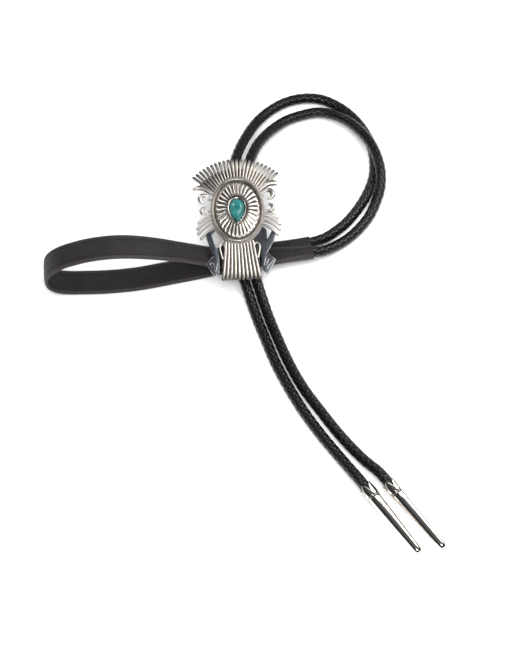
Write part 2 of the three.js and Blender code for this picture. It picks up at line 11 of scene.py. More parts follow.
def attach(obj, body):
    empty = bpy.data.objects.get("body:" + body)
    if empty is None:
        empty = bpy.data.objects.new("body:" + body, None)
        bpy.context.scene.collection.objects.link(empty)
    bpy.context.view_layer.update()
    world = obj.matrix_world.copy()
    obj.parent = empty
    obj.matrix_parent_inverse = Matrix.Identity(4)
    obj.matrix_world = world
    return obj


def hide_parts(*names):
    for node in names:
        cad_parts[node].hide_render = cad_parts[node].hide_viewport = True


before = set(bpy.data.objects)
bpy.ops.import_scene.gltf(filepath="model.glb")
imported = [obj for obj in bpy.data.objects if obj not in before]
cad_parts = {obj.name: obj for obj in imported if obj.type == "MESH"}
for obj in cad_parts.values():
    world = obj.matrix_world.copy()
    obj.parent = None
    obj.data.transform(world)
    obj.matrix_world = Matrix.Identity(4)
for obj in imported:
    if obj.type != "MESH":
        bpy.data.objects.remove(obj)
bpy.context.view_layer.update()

bl_info = {
    "name": "Bolo Tie",
    "version": (1, 0, 0),
    "blender": (4, 5, 0),
    "location": "3D View > Sidebar > Bolo Tie",
    "description": "Makes a bolo tie with braided cords, silver tips and a turquoise slide",
    "category": "Add Mesh",
}

BODY = "root"
MM = 0.001

# ---- Shape tables, in millimetres -----------------------------------------------------------

# Middle line of the strap, with the leather's width and thickness and the turn of its width
# in degrees, the same as in the part's source.
STRAP_ROUTE = [
    (73.4, -4.9, 3.3, 7.4, 6.6, 11),
    (64.0, -6.8, 2.4, 8.8, 4.8, 12),
    (54.5, -8.9, 1.7, 11.0, 3.4, 13),
    (36.5, -13.0, 1.25, 13.6, 2.5, 13),
    (19.0, -17.6, 1.2, 14.8, 2.4, 13),
    (-5.6, -23.3, 1.2, 14.8, 2.4, 12),
    (-25.0, -27.3, 1.2, 14.8, 2.4, 8),
    (-42.0, -29.1, 1.2, 14.8, 2.4, 3),
    (-54.0, -29.5, 1.2, 14.8, 2.4, 1),
    (-61.5, -29.6, 1.3, 14.8, 2.4, 0),
    (-68.2, -29.7, 3.0, 14.8, 2.4, 1),
    (-72.6, -29.6, 7.0, 14.8, 2.4, 3),
    (-73.9, -29.3, 12.0, 14.8, 2.4, 5),
    (-72.8, -29.0, 17.4, 14.8, 2.4, 6),
    (-69.6, -28.8, 22.6, 14.8, 2.4, 6),
    (-64.4, -28.6, 27.4, 14.8, 2.4, 5),
    (-56.5, -28.3, 31.8, 14.8, 2.4, 4),
    (-47.5, -28.1, 35.4, 14.8, 2.4, 4),
    (-37.0, -27.6, 37.2, 14.8, 2.4, 5),
    (-28.0, -26.8, 36.4, 14.8, 2.4, 7),
    (-18.0, -25.4, 33.0, 14.6, 2.4, 9),
    (-8.0, -23.7, 28.0, 14.0, 2.4, 10),
    (2.0, -21.6, 21.6, 13.2, 2.4, 11),
    (11.0, -19.5, 14.8, 13.2, 2.4, 11),
    (20.0, -17.9, 9.0, 13.0, 2.4, 9),
    (28.5, -16.8, 5.8, 12.6, 2.4, 6),
    (38.0, -16.0, 4.4, 12.0, 2.5, 4),
    (50.0, -15.2, 5.4, 10.7, 3.2, 4),
    (62.0, -14.4, 6.4, 9.1, 4.6, 5),
    (74.7, -13.0, 6.2, 7.4, 6.6, 7),
]

LEFT_CORD_ROUTE = [
    (74.3, -4.6, 3.3), (81.6, -1.7, 3.1), (87.5, 2.5, 3.1), (94, 8.5, 3.1), (101, 18, 3.1),
    (106.6, 28.5, 3.1), (110, 38.8, 3.1), (110.7, 49, 3.1), (109.4, 59.2, 3.1),
    (105.8, 68.8, 3.1), (99.6, 78.5, 3.1), (91.6, 86.2, 3.1), (81.2, 91.8, 3.1),
    (70.7, 92.8, 3.1), (60.1, 90, 3.1), (50.7, 83.8, 3.5), (42.6, 74.1, 5.4),
    (36.6, 61.4, 9.2), (32.4, 49, 12.8), (29, 33, 15.4), (28.2, 13.6, 15), (29.2, -2.2, 12.8),
    (30.6, -13, 11.2), (33.1, -22.5, 9.6), (36.2, -31.5, 7.3), (39.6, -42, 4.7),
    (42.7, -51.7, 3.3), (48.1, -66.7, 3.1), (53.7, -81.5, 3.1), (60.7, -96.2, 3.1),
    (68.8, -110.7, 3.1), (78.3, -125, 3.1), (89.2, -139.6, 3.3), (96.6, -149.7, 4.6),
    (101.0, -155.5, 4.4), (104.6, -160.3, 4.1),
]

RIGHT_CORD_ROUTE = [
    (75.7, -12.7, 6.2), (80.0, -11.6, 5.4), (86.6, -7.9, 3.8), (93.5, -3, 3.1),
    (100.4, 3.6, 3.1), (107.1, 12.8, 3.2), (111, 21.5, 4.2), (113.5, 29.6, 6.4),
    (113.8, 38.8, 8.8), (112.2, 47.2, 9.9), (108.7, 56.9, 10.1), (103.7, 64.8, 9.5),
    (96.5, 73.5, 7.5), (88, 80, 4.9), (78.7, 82.8, 3.4), (69.4, 81, 3.1), (60, 76.7, 3.8),
    (51.3, 68.4, 6.2), (44.3, 57.5, 9.8), (40, 46, 13), (37, 32, 15.5), (35.6, 14.1, 15),
    (36.6, -1.7, 12.9), (37.8, -13, 11.2), (40.1, -22.5, 9.6), (43, -31.5, 7.3),
    (46.4, -42, 4.7), (49.6, -51.7, 3.3), (55.1, -66.7, 3.1), (61.1, -81.5, 3.1),
    (68.6, -96.2, 3.1), (78.2, -110.7, 3.1), (88.4, -125, 3.1), (100.0, -138.6, 3.3),
    (108.6, -147.2, 4.6), (113.4, -153.3, 4.4), (117.1, -158.1, 4.1),
]

# Each tip's mouth and blunt end.
LEFT_TIP = ((99.2, -153.1, 4.6), (128.8, -192.3, 2.3))
RIGHT_TIP = ((111.6, -151.0, 4.6), (141.7, -189.7, 2.3))

# The ornament's own frame: x to its right, y towards its crest, z out of its face.
ORNAMENT = (
    Matrix.Translation((0.0324, 0.0052, 0.0185))
    @ Matrix.Rotation(math.radians(8), 4, "X")
    @ Matrix.Rotation(math.radians(3.5), 4, "Z")
)
CONCHO_HALF_WIDTH = 15.3
CONCHO_HALF_HEIGHT = 20.7
CONCHO_RISE = 1.0
CREST_FEATHERS = 22
CREST_HALF_ANGLE = 48
CREST_BEND = 27.5
CREST_REACH = 33.2
TAIL_WIRES = 10
STONE_WIDTH = 8.2
STONE_HEIGHT = 13.4
STONE_TAPER = 0.6
STONE_MIDDLE = (-0.3, -1.0)
POCKET_BORE = 3.08
TIP_TURN = 18

# The camera: what it looks at, how far off and how high it stands, in metres and degrees.
CAMERA_TARGET = Vector((0.0455, -0.0585, 0.004))
CAMERA_DISTANCE = 1.2
CAMERA_ELEVATION = 62
CAMERA_LENS = 120

# Oval concho from rim to middle: share of the half width, height, polish.
CONCHO_PROFILE = [
    (0.930, 0.55, 0.1), (0.982, 0.72, 0.2), (1.000, 1.10, 0.5), (1.000, 1.85, 0.9),
    (0.995, 2.18, 1.0), (0.986, 2.36, 1.0), (0.979, 2.34, 0.2), (0.972, 2.48, 0.9),
    (0.950, 2.68, 1.0), (0.938, 2.72, 0.3), (0.930, 3.05, 0.8), (0.918, 3.44, 1.0),
    (0.902, 3.64, 1.0), (0.884, 3.46, 1.0), (0.868, 3.06, 0.8), (0.854, 2.74, 0.3),
    (0.840, 2.60, 0.1), (0.820, 2.70, 0.1), (0.804, 2.96, 0.6), (0.760, 3.22, 1.0),
    (0.710, 3.46, 1.0), (0.650, 3.74, 1.0), (0.590, 4.03, 1.0), (0.540, 4.30, 1.0),
    (0.490, 4.56, 0.9), (0.440, 4.78, 0.6), (0.400, 4.90, 0.3), (0.360, 4.95, 0.1),
    (0.180, 4.95, 0.1),
]

# Crescent scrolls beside the concho: middle, radius, first and last angle, half width.
SCROLLS = [
    (17.7, 10.0, 2.6, 150, -105, 1.5),
    (18.0, 1.9, 1.95, 140, -140, 1.15),
    (-18.2, 9.1, 2.4, 25, 268, 1.4),
    (-18.3, 1.9, 1.8, 42, 318, 1.1),
]

# Leaves beside the crest: points of the middle line with half widths.
LEAVES = [
    [(12.8, 12.0, 0.9), (15.2, 14.4, 1.4), (17.9, 16.4, 1.8), (20.6, 16.9, 1.8),
     (22.6, 16.2, 1.3), (23.6, 15.0, 0.5)],
    [(-12.6, 11.4, 0.9), (-15.4, 13.8, 1.4), (-18.4, 15.8, 1.6), (-21.2, 16.2, 1.4),
     (-23.2, 15.6, 1.0), (-24.1, 14.8, 0.4)],
]

# Side feathers: root, bend and tip.
SIDE_FEATHERS = [
    ((13.0, -0.6), (19.5, -1.6), (22.7, -4.8)),
    ((13.0, -3.0), (20.0, -4.6), (24.0, -9.0)),
    ((12.6, -5.4), (19.4, -7.0), (23.6, -12.2)),
    ((12.0, -7.6), (18.2, -9.6), (22.2, -15.2)),
    ((-13.0, -0.6), (-19.5, -2.0), (-22.5, -5.6)),
    ((-13.0, -3.0), (-19.8, -4.8), (-23.4, -9.2)),
    ((-12.6, -5.4), (-19.2, -7.2), (-23.2, -12.2)),
    ((-12.0, -7.6), (-17.8, -9.8), (-21.6, -15.2)),
]

LEFT_LEG = [
    (-12.0, -8.5), (-18.2, -11.8), (-18.6, -13.4), (-16.0, -22.4), (-14.6, -25.4),
    (-16.0, -26.2), (-19.3, -29.8), (-14.7, -37.6), (-11.9, -35.4), (-11.7, -24.0),
    (-14.0, -17.6), (-15.0, -12.6),
]
RIGHT_LEG = [
    (7.1, -17.5), (13.2, -9.0), (15.6, -11.0), (15.8, -16.4), (18.5, -11.8), (20.6, -13.6),
    (18.7, -19.2), (14.8, -25.4), (16.2, -25.6), (19.6, -29.4), (14.6, -37.4), (11.9, -34.6),
    (11.7, -24.0),
]

# Square spirals cut into the feet.
FRETS = [
    [(-15.4, -26.9), (-13.0, -29.6), (-14.1, -34.6), (-17.2, -30.6), (-15.5, -29.0),
     (-14.6, -31.6)],
    [(14.2, -27.0), (12.8, -32.4), (14.5, -34.6), (17.6, -30.2), (15.9, -28.6),
     (14.6, -31.4)],
]


# ---- Small helpers --------------------------------------------------------------------------

def linear(code):
    """The linear red, green, blue and alpha of an sRGB hex colour."""
    values = [int(code[i:i + 2], 16) / 255 for i in (1, 3, 5)]
    curve = [v / 12.92 if v <= 0.04045 else ((v + 0.055) / 1.055) ** 2.4 for v in values]
    return (*curve, 1.0)


def set_inputs(tree, node, inputs):
    """Gives each input of a node a value, a socket's link or another node's first output."""
    for key, value in inputs.items():
        if isinstance(value, bpy.types.Node):
            value = value.outputs[0]
        if isinstance(value, bpy.types.NodeSocket):
            tree.links.new(value, node.inputs[key])
        else:
            node.inputs[key].default_value = value


def add(tree, kind, inputs=None, **settings):
    """A node of one kind, with its settings and its inputs."""
    node = tree.nodes.new(kind)
    for name, value in settings.items():
        setattr(node, name, value)
    set_inputs(tree, node, inputs or {})
    return node


def millimetres(points):
    """Vectors in metres from points in millimetres."""
    return [Vector(point) * MM for point in points]


def smooth_route(points, per_span):
    """Points along the centripetal curve through the given ones, and each one's place."""
    last = len(points) - 1
    result = []
    for step in range(last * per_span + 1):
        at = step / per_span
        index = min(int(at), last - 1)
        share = at - index
        p1, p2 = points[index], points[index + 1]
        p0 = points[index - 1] if index > 0 else 2 * p1 - p2
        p3 = points[index + 2] if index + 2 <= last else 2 * p2 - p1
        d0, d1, d2 = (max((b - a).length ** 0.5, 1e-6) for a, b in ((p0, p1), (p1, p2), (p2, p3)))
        start = ((p1 - p0) / d0 - (p2 - p0) / (d0 + d1) + (p2 - p1) / d1) * d1
        end = ((p2 - p1) / d1 - (p3 - p1) / (d1 + d2) + (p3 - p2) / d2) * d1
        square, cube = share * share, share ** 3
        result.append((
            p1 * (2 * cube - 3 * square + 1) + start * (cube - 2 * square + share)
            + p2 * (3 * square - 2 * cube) + end * (cube - square),
            at,
        ))
    return result


def blended_row(rows, at):
    """The row of a table at a place between its rows, eased through the rows around it."""
    last = len(rows) - 1
    index = min(int(at), last - 1)
    share = at - index
    result = []
    for column in range(len(rows[0])):
        b, c = rows[index][column], rows[index + 1][column]
        a = rows[index - 1][column] if index > 0 else 2 * b - c
        d = rows[index + 2][column] if index + 2 <= last else 2 * c - b
        start, end = (c - a) / 2, (d - b) / 2
        square, cube = share * share, share ** 3
        result.append(
            b * (2 * cube - 3 * square + 1) + start * (cube - 2 * square + share)
            + c * (3 * square - 2 * cube) + end * (cube - square))
    return result


def even_points(points, spacing):
    """Points at an even distance along a line of points."""
    lengths = [0.0]
    for a, b in zip(points, points[1:]):
        lengths.append(lengths[-1] + (b - a).length)
    count = max(2, round(lengths[-1] / spacing))
    result = []
    index = 0
    for step in range(count + 1):
        wanted = lengths[-1] * step / count
        while index < len(points) - 2 and lengths[index + 1] < wanted:
            index += 1
        share = (wanted - lengths[index]) / (lengths[index + 1] - lengths[index])
        result.append(points[index].lerp(points[index + 1], min(max(share, 0.0), 1.0)))
    return result


def new_mesh(name, points, faces, values=None):
    """A mesh with the given points, faces and point attributes."""
    mesh = bpy.data.meshes.new(name)
    mesh.from_pydata([tuple(p) for p in points], [], faces)
    for key, numbers in (values or {}).items():
        mesh.attributes.new(key, "FLOAT", "POINT").data.foreach_set("value", numbers)
    return mesh


def line_mesh(name, lines, values):
    """A mesh of open lines of points, with an attribute of one value for each point."""
    points = [point for line in lines for point in line]
    edges = []
    start = 0
    for line in lines:
        edges += [(start + i, start + i + 1) for i in range(len(line) - 1)]
        start += len(line)
    mesh = bpy.data.meshes.new(name)
    mesh.from_pydata([tuple(p) for p in points], edges, [])
    for key, numbers in values.items():
        if isinstance(numbers[0], Vector):
            flat = [number for vector in numbers for number in vector]
            mesh.attributes.new(key, "FLOAT_VECTOR", "POINT").data.foreach_set("vector", flat)
        else:
            mesh.attributes.new(key, "FLOAT", "POINT").data.foreach_set("value", numbers)
    return mesh


def ring_faces(rings, count, closed_ends=(True, True)):
    """Faces between rings of points that follow each other, with a face over each end."""
    faces = []
    for ring in range(rings - 1):
        for side in range(count):
            a = ring * count + side
            b = ring * count + (side + 1) % count
            faces.append((a, b, b + count, a + count))
    if closed_ends[0]:
        faces.append(tuple(range(count))[::-1])
    if closed_ends[1]:
        faces.append(tuple((rings - 1) * count + side for side in range(count)))
    return faces


def finish_piece(name, mesh, material, sharp_angle=40.0, place=None):
    """A finished piece from a mesh: faces outwards, smooth where it curves, on its body."""
    if place is not None:
        mesh.transform(place)
    shape = bmesh.new()
    shape.from_mesh(mesh)
    bmesh.ops.remove_doubles(shape, verts=shape.verts, dist=1e-7)
    bmesh.ops.recalc_face_normals(shape, faces=shape.faces)
    shape.to_mesh(mesh)
    shape.free()
    mesh.shade_smooth()
    mesh.set_sharp_from_angle(angle=math.radians(sharp_angle))
    mesh.name = name
    if not mesh.materials:
        mesh.materials.append(material)
    piece = bpy.data.objects.new(name, mesh)
    bpy.context.scene.collection.objects.link(piece)
    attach(piece, BODY)
    return piece


def start_tree(name, inputs):
    """A Geometry Nodes tree with the named inputs, its input node and its output node."""
    tree = bpy.data.node_groups.new(name, "GeometryNodeTree")
    tree.interface.new_socket("Geometry", in_out="INPUT", socket_type="NodeSocketGeometry")
    tree.interface.new_socket("Geometry", in_out="OUTPUT", socket_type="NodeSocketGeometry")
    for key, value in inputs.items():
        kind = "NodeSocketInt" if isinstance(value, int) else "NodeSocketFloat"
        socket = tree.interface.new_socket(key, in_out="INPUT", socket_type=kind)
        socket.default_value = value
    tree.interface.new_socket("Material", in_out="INPUT", socket_type="NodeSocketMaterial")
    return tree, tree.nodes.new("NodeGroupInput"), tree.nodes.new("NodeGroupOutput")


def end_tree(tree, start, end, geometry):
    """The last nodes of every tree: instances made real, smooth faces and the material."""
    real = add(tree, "GeometryNodeRealizeInstances", {"Geometry": geometry})
    smooth = add(tree, "GeometryNodeSetShadeSmooth", {"Geometry": real})
    finished = add(tree, "GeometryNodeSetMaterial", {
        "Geometry": smooth, "Material": start.outputs["Material"]})
    tree.links.new(finished.outputs[0], end.inputs[0])


def mesh_from_tree(name, mesh, tree, values):
    """The plain mesh that a tree makes of a mesh, with the tree's inputs set by name."""
    source = bpy.data.objects.new(name + "_source", mesh)
    bpy.context.scene.collection.objects.link(source)
    modifier = source.modifiers.new(tree.name, "NODES")
    modifier.node_group = tree
    for item in tree.interface.items_tree:
        if item.in_out == "INPUT" and item.name in values:
            modifier[item.identifier] = values[item.name]
    bpy.context.view_layer.update()
    evaluated = source.evaluated_get(bpy.context.evaluated_depsgraph_get())
    result = bpy.data.meshes.new_from_object(evaluated)
    bpy.data.objects.remove(source)
    bpy.data.meshes.remove(mesh)
    return result


# ---- Geometry Nodes trees -------------------------------------------------------------------

def braid_tree():
    """Flat laces plaited over one, under one, round a core that follows a path."""
    tree, start, end = start_tree("plaited_laces", {
        "Laces": 8, "Turn Length": 0.0176, "Middle Radius": 0.0024, "Rise": 0.00025,
        "Lace Width": 0.00275, "Lace Thickness": 0.0008, "Crown": 110.0})
    path = add(tree, "GeometryNodeMeshToCurve", {"Mesh": start.outputs["Geometry"]})
    upright = add(tree, "GeometryNodeSetCurveNormal", {"Curve": path}, mode="Z_UP")
    copies = add(tree, "GeometryNodeDuplicateElements", {
        "Geometry": upright, "Amount": start.outputs["Laces"]}, domain="SPLINE")
    index = copies.outputs["Duplicate Index"]
    along = add(tree, "GeometryNodeSplineParameter")
    # Even laces wind one way and odd laces the other way.
    hand = add(tree, "ShaderNodeMath", {0: index, 1: 2.0}, operation="MODULO")
    way = add(tree, "ShaderNodeMath", {0: hand, 1: -2.0, 2: 1.0}, operation="MULTIPLY_ADD")
    pair = add(tree, "ShaderNodeMath", {0: index, 1: 2.0}, operation="DIVIDE")
    pair_floor = add(tree, "ShaderNodeMath", {0: pair}, operation="FLOOR")
    full = add(tree, "ShaderNodeMath", {0: 4 * math.pi, 1: start.outputs["Laces"]},
               operation="DIVIDE")
    first = add(tree, "ShaderNodeMath", {0: pair_floor, 1: full}, operation="MULTIPLY")
    turns = add(tree, "ShaderNodeMath", {0: along.outputs["Length"],
                                         1: start.outputs["Turn Length"]}, operation="DIVIDE")
    wound = add(tree, "ShaderNodeMath", {0: turns, 1: 2 * math.pi}, operation="MULTIPLY")
    signed = add(tree, "ShaderNodeMath", {0: wound, 1: way, 2: first}, operation="MULTIPLY_ADD")
    angle = signed
    # The lace goes over where the others go under, once for each column of the plait.
    half = add(tree, "ShaderNodeMath", {0: start.outputs["Laces"], 1: 2.0}, operation="DIVIDE")
    wave_angle = add(tree, "ShaderNodeMath", {0: angle, 1: half}, operation="MULTIPLY")
    wave = add(tree, "ShaderNodeMath", {0: wave_angle}, operation="COSINE")
    over = add(tree, "ShaderNodeMath", {0: wave, 1: way}, operation="MULTIPLY")
    radius = add(tree, "ShaderNodeMath", {0: over, 1: start.outputs["Rise"],
                                          2: start.outputs["Middle Radius"]},
                 operation="MULTIPLY_ADD")
    normal = add(tree, "GeometryNodeInputNormal")
    tangent = add(tree, "GeometryNodeInputTangent")
    outwards = add(tree, "ShaderNodeVectorRotate", {
        "Vector": normal, "Axis": tangent, "Angle": angle},
        rotation_type="AXIS_ANGLE")
    kept = add(tree, "GeometryNodeStoreNamedAttribute", {
        "Geometry": copies, "Name": "outwards", "Value": outwards},
        data_type="FLOAT_VECTOR", domain="POINT")
    offset = add(tree, "ShaderNodeVectorMath", {0: outwards,
                                                "Scale": radius}, operation="SCALE")
    wound_laces = add(tree, "GeometryNodeSetPosition", {"Geometry": kept, "Offset": offset})
    facing = add(tree, "GeometryNodeInputNamedAttribute", {"Name": "outwards"},
                 data_type="FLOAT_VECTOR")
    turned = add(tree, "GeometryNodeSetCurveNormal", {
        "Curve": wound_laces, "Normal": facing}, mode="FREE")
    # The lace's section is a flat pillow that bends round the core.
    circle = add(tree, "GeometryNodeCurvePrimitiveCircle", {"Resolution": 14, "Radius": 1.0})
    place = add(tree, "GeometryNodeInputPosition")
    parts = add(tree, "ShaderNodeSeparateXYZ", {0: place})
    across = add(tree, "GeometryNodeStoreNamedAttribute", {
        "Geometry": circle, "Name": "across", "Value": parts.outputs["Y"]},
        data_type="FLOAT", domain="POINT")
    half_wide = add(tree, "ShaderNodeMath", {0: start.outputs["Lace Width"], 1: 0.5},
                    operation="MULTIPLY")
    wide = add(tree, "ShaderNodeMath", {0: parts.outputs["Y"], 1: half_wide},
               operation="MULTIPLY")
    half_thick = add(tree, "ShaderNodeMath", {0: start.outputs["Lace Thickness"], 1: 0.5},
                     operation="MULTIPLY")
    square = add(tree, "ShaderNodeMath", {0: wide, 1: wide}, operation="MULTIPLY")
    sag = add(tree, "ShaderNodeMath", {0: square, 1: start.outputs["Crown"]},
              operation="MULTIPLY")
    # The top and the bottom of the section are cut flat, and only its edges are round.
    flat = add(tree, "ShaderNodeMapRange", {
        "Value": parts.outputs["X"], "From Min": -0.55, "From Max": 0.55, "To Min": -1.0,
        "To Max": 1.0})
    thick = add(tree, "ShaderNodeMath", {0: flat, 1: half_thick}, operation="MULTIPLY")
    bent = add(tree, "ShaderNodeMath", {0: thick, 1: sag}, operation="SUBTRACT")
    corner = add(tree, "ShaderNodeCombineXYZ", {"X": bent, "Y": wide})
    section = add(tree, "GeometryNodeSetPosition", {"Geometry": across, "Position": corner})
    laces = add(tree, "GeometryNodeCurveToMesh", {
        "Curve": turned, "Profile Curve": section, "Fill Caps": True})
    core_circle = add(tree, "GeometryNodeCurvePrimitiveCircle", {
        "Resolution": 12, "Radius": start.outputs["Middle Radius"]})
    # The core counts as a lace edge, so the lace material paints it near black: painted shade
    # under the laces.
    core_section_painted_dark = add(tree, "GeometryNodeStoreNamedAttribute", {
        "Geometry": core_circle, "Name": "across", "Value": 1.0},
        data_type="FLOAT", domain="POINT")
    core = add(tree, "GeometryNodeCurveToMesh", {
        "Curve": upright, "Profile Curve": core_section_painted_dark, "Scale": 0.82,
        "Fill Caps": True})
    joined = add(tree, "GeometryNodeJoinGeometry")
    tree.links.new(core.outputs[0], joined.inputs[0])
    tree.links.new(laces.outputs[0], joined.inputs[0])
    end_tree(tree, start, end, joined)
    return tree


def bar_tree():
    """Domed bars and wires that follow lines, each as wide as its own half_width."""
    tree, start, end = start_tree("domed_bars", {"Section Points": 16, "Dome": 0.85, "Back": 0.3})
    lines = add(tree, "GeometryNodeMeshToCurve", {"Mesh": start.outputs["Geometry"]})
    upright = add(tree, "GeometryNodeSetCurveNormal", {"Curve": lines}, mode="Z_UP")
    circle = add(tree, "GeometryNodeCurvePrimitiveCircle", {
        "Resolution": start.outputs["Section Points"], "Radius": 1.0})
    place = add(tree, "GeometryNodeInputPosition")
    parts = add(tree, "ShaderNodeSeparateXYZ", {0: place})
    # The section's dome is on its minus y side, and its back is pressed almost flat.
    height = add(tree, "ShaderNodeMath", {0: parts.outputs["Y"], 1: -1.0}, operation="MULTIPLY")
    shine = add(tree, "ShaderNodeMapRange", {"Value": height, "From Min": 0.1, "From Max": 0.7})
    polished = add(tree, "GeometryNodeStoreNamedAttribute", {
        "Geometry": circle, "Name": "section_polish", "Value": shine},
        data_type="FLOAT", domain="POINT")
    front = add(tree, "ShaderNodeMath", {0: parts.outputs["Y"], 1: start.outputs["Dome"]},
                operation="MULTIPLY")
    back = add(tree, "ShaderNodeMath", {0: parts.outputs["Y"], 1: start.outputs["Back"]},
               operation="MULTIPLY")
    lower = add(tree, "ShaderNodeMath", {0: front, 1: back}, operation="MINIMUM")
    corner = add(tree, "ShaderNodeCombineXYZ", {"X": parts.outputs["X"], "Y": lower})
    section = add(tree, "GeometryNodeSetPosition", {"Geometry": polished, "Position": corner})
    half_width = add(tree, "GeometryNodeInputNamedAttribute", {"Name": "half_width"},
                     data_type="FLOAT")
    swept = add(tree, "GeometryNodeCurveToMesh", {
        "Curve": upright, "Profile Curve": section,
        "Scale": half_width, "Fill Caps": True})
    # A line's polish times its section's polish; on the crest feathers' outer ends and the tail
    # wires' lower ends the line's share is painted shade.
    line_polish_and_shade = add(tree, "GeometryNodeInputNamedAttribute", {"Name": "line_polish_and_shade"},
                      data_type="FLOAT")
    section_polish = add(tree, "GeometryNodeInputNamedAttribute", {"Name": "section_polish"},
                         data_type="FLOAT")
    both = add(tree, "ShaderNodeMath", {0: line_polish_and_shade, 1: section_polish},
               operation="MULTIPLY")
    stored = add(tree, "GeometryNodeStoreNamedAttribute", {
        "Geometry": swept, "Name": "polish", "Value": both},
        data_type="FLOAT", domain="POINT")
    end_tree(tree, start, end, stored)
    return tree


def stitch_tree():
    """Short thread stitches along lines, each lying on the face that the line gives."""
    tree, start, end = start_tree("thread_stitches", {
        "Pitch": 0.0025, "Stitch Length": 0.00185, "Thread Radius": 0.00026})
    lines = add(tree, "GeometryNodeMeshToCurve", {"Mesh": start.outputs["Geometry"]})
    places = add(tree, "GeometryNodeResampleCurve", {
        "Curve": lines, "Length": start.outputs["Pitch"]}, mode="LENGTH")
    half = add(tree, "ShaderNodeMath", {0: start.outputs["Stitch Length"], 1: 0.5},
               operation="MULTIPLY")
    minus = add(tree, "ShaderNodeMath", {0: half, 1: -1.0}, operation="MULTIPLY")
    left = add(tree, "ShaderNodeCombineXYZ", {"X": minus})
    right = add(tree, "ShaderNodeCombineXYZ", {"X": half})
    thread = add(tree, "GeometryNodeCurvePrimitiveLine", {"Start": left, "End": right})
    points = add(tree, "GeometryNodeResampleCurve", {"Curve": thread, "Count": 6}, mode="COUNT")
    # Both ends dive into their needle holes.
    along = add(tree, "GeometryNodeSplineParameter")
    centred = add(tree, "ShaderNodeMath", {0: along.outputs["Factor"], 1: 2.0, 2: -1.0},
                  operation="MULTIPLY_ADD")
    fourth = add(tree, "ShaderNodeMath", {0: centred, 1: 4.0}, operation="POWER")
    dive = add(tree, "ShaderNodeMath", {0: fourth, 1: -0.0004}, operation="MULTIPLY")
    drop = add(tree, "ShaderNodeCombineXYZ", {"Z": dive})
    arched = add(tree, "GeometryNodeSetPosition", {"Geometry": points, "Offset": drop})
    round_thread = add(tree, "GeometryNodeCurvePrimitiveCircle", {
        "Resolution": 6, "Radius": start.outputs["Thread Radius"]})
    stitch = add(tree, "GeometryNodeCurveToMesh", {
        "Curve": arched, "Profile Curve": round_thread,
        "Fill Caps": True})
    face = add(tree, "GeometryNodeInputNamedAttribute", {"Name": "face"},
               data_type="FLOAT_VECTOR")
    tangent = add(tree, "GeometryNodeInputTangent")
    turn = add(tree, "FunctionNodeAxesToRotation", {
        "Primary Axis": face, "Secondary Axis": tangent},
        primary_axis="Z", secondary_axis="X")
    placed = add(tree, "GeometryNodeInstanceOnPoints", {
        "Points": places, "Instance": stitch,
        "Rotation": turn})
    end_tree(tree, start, end, placed)
    return tree


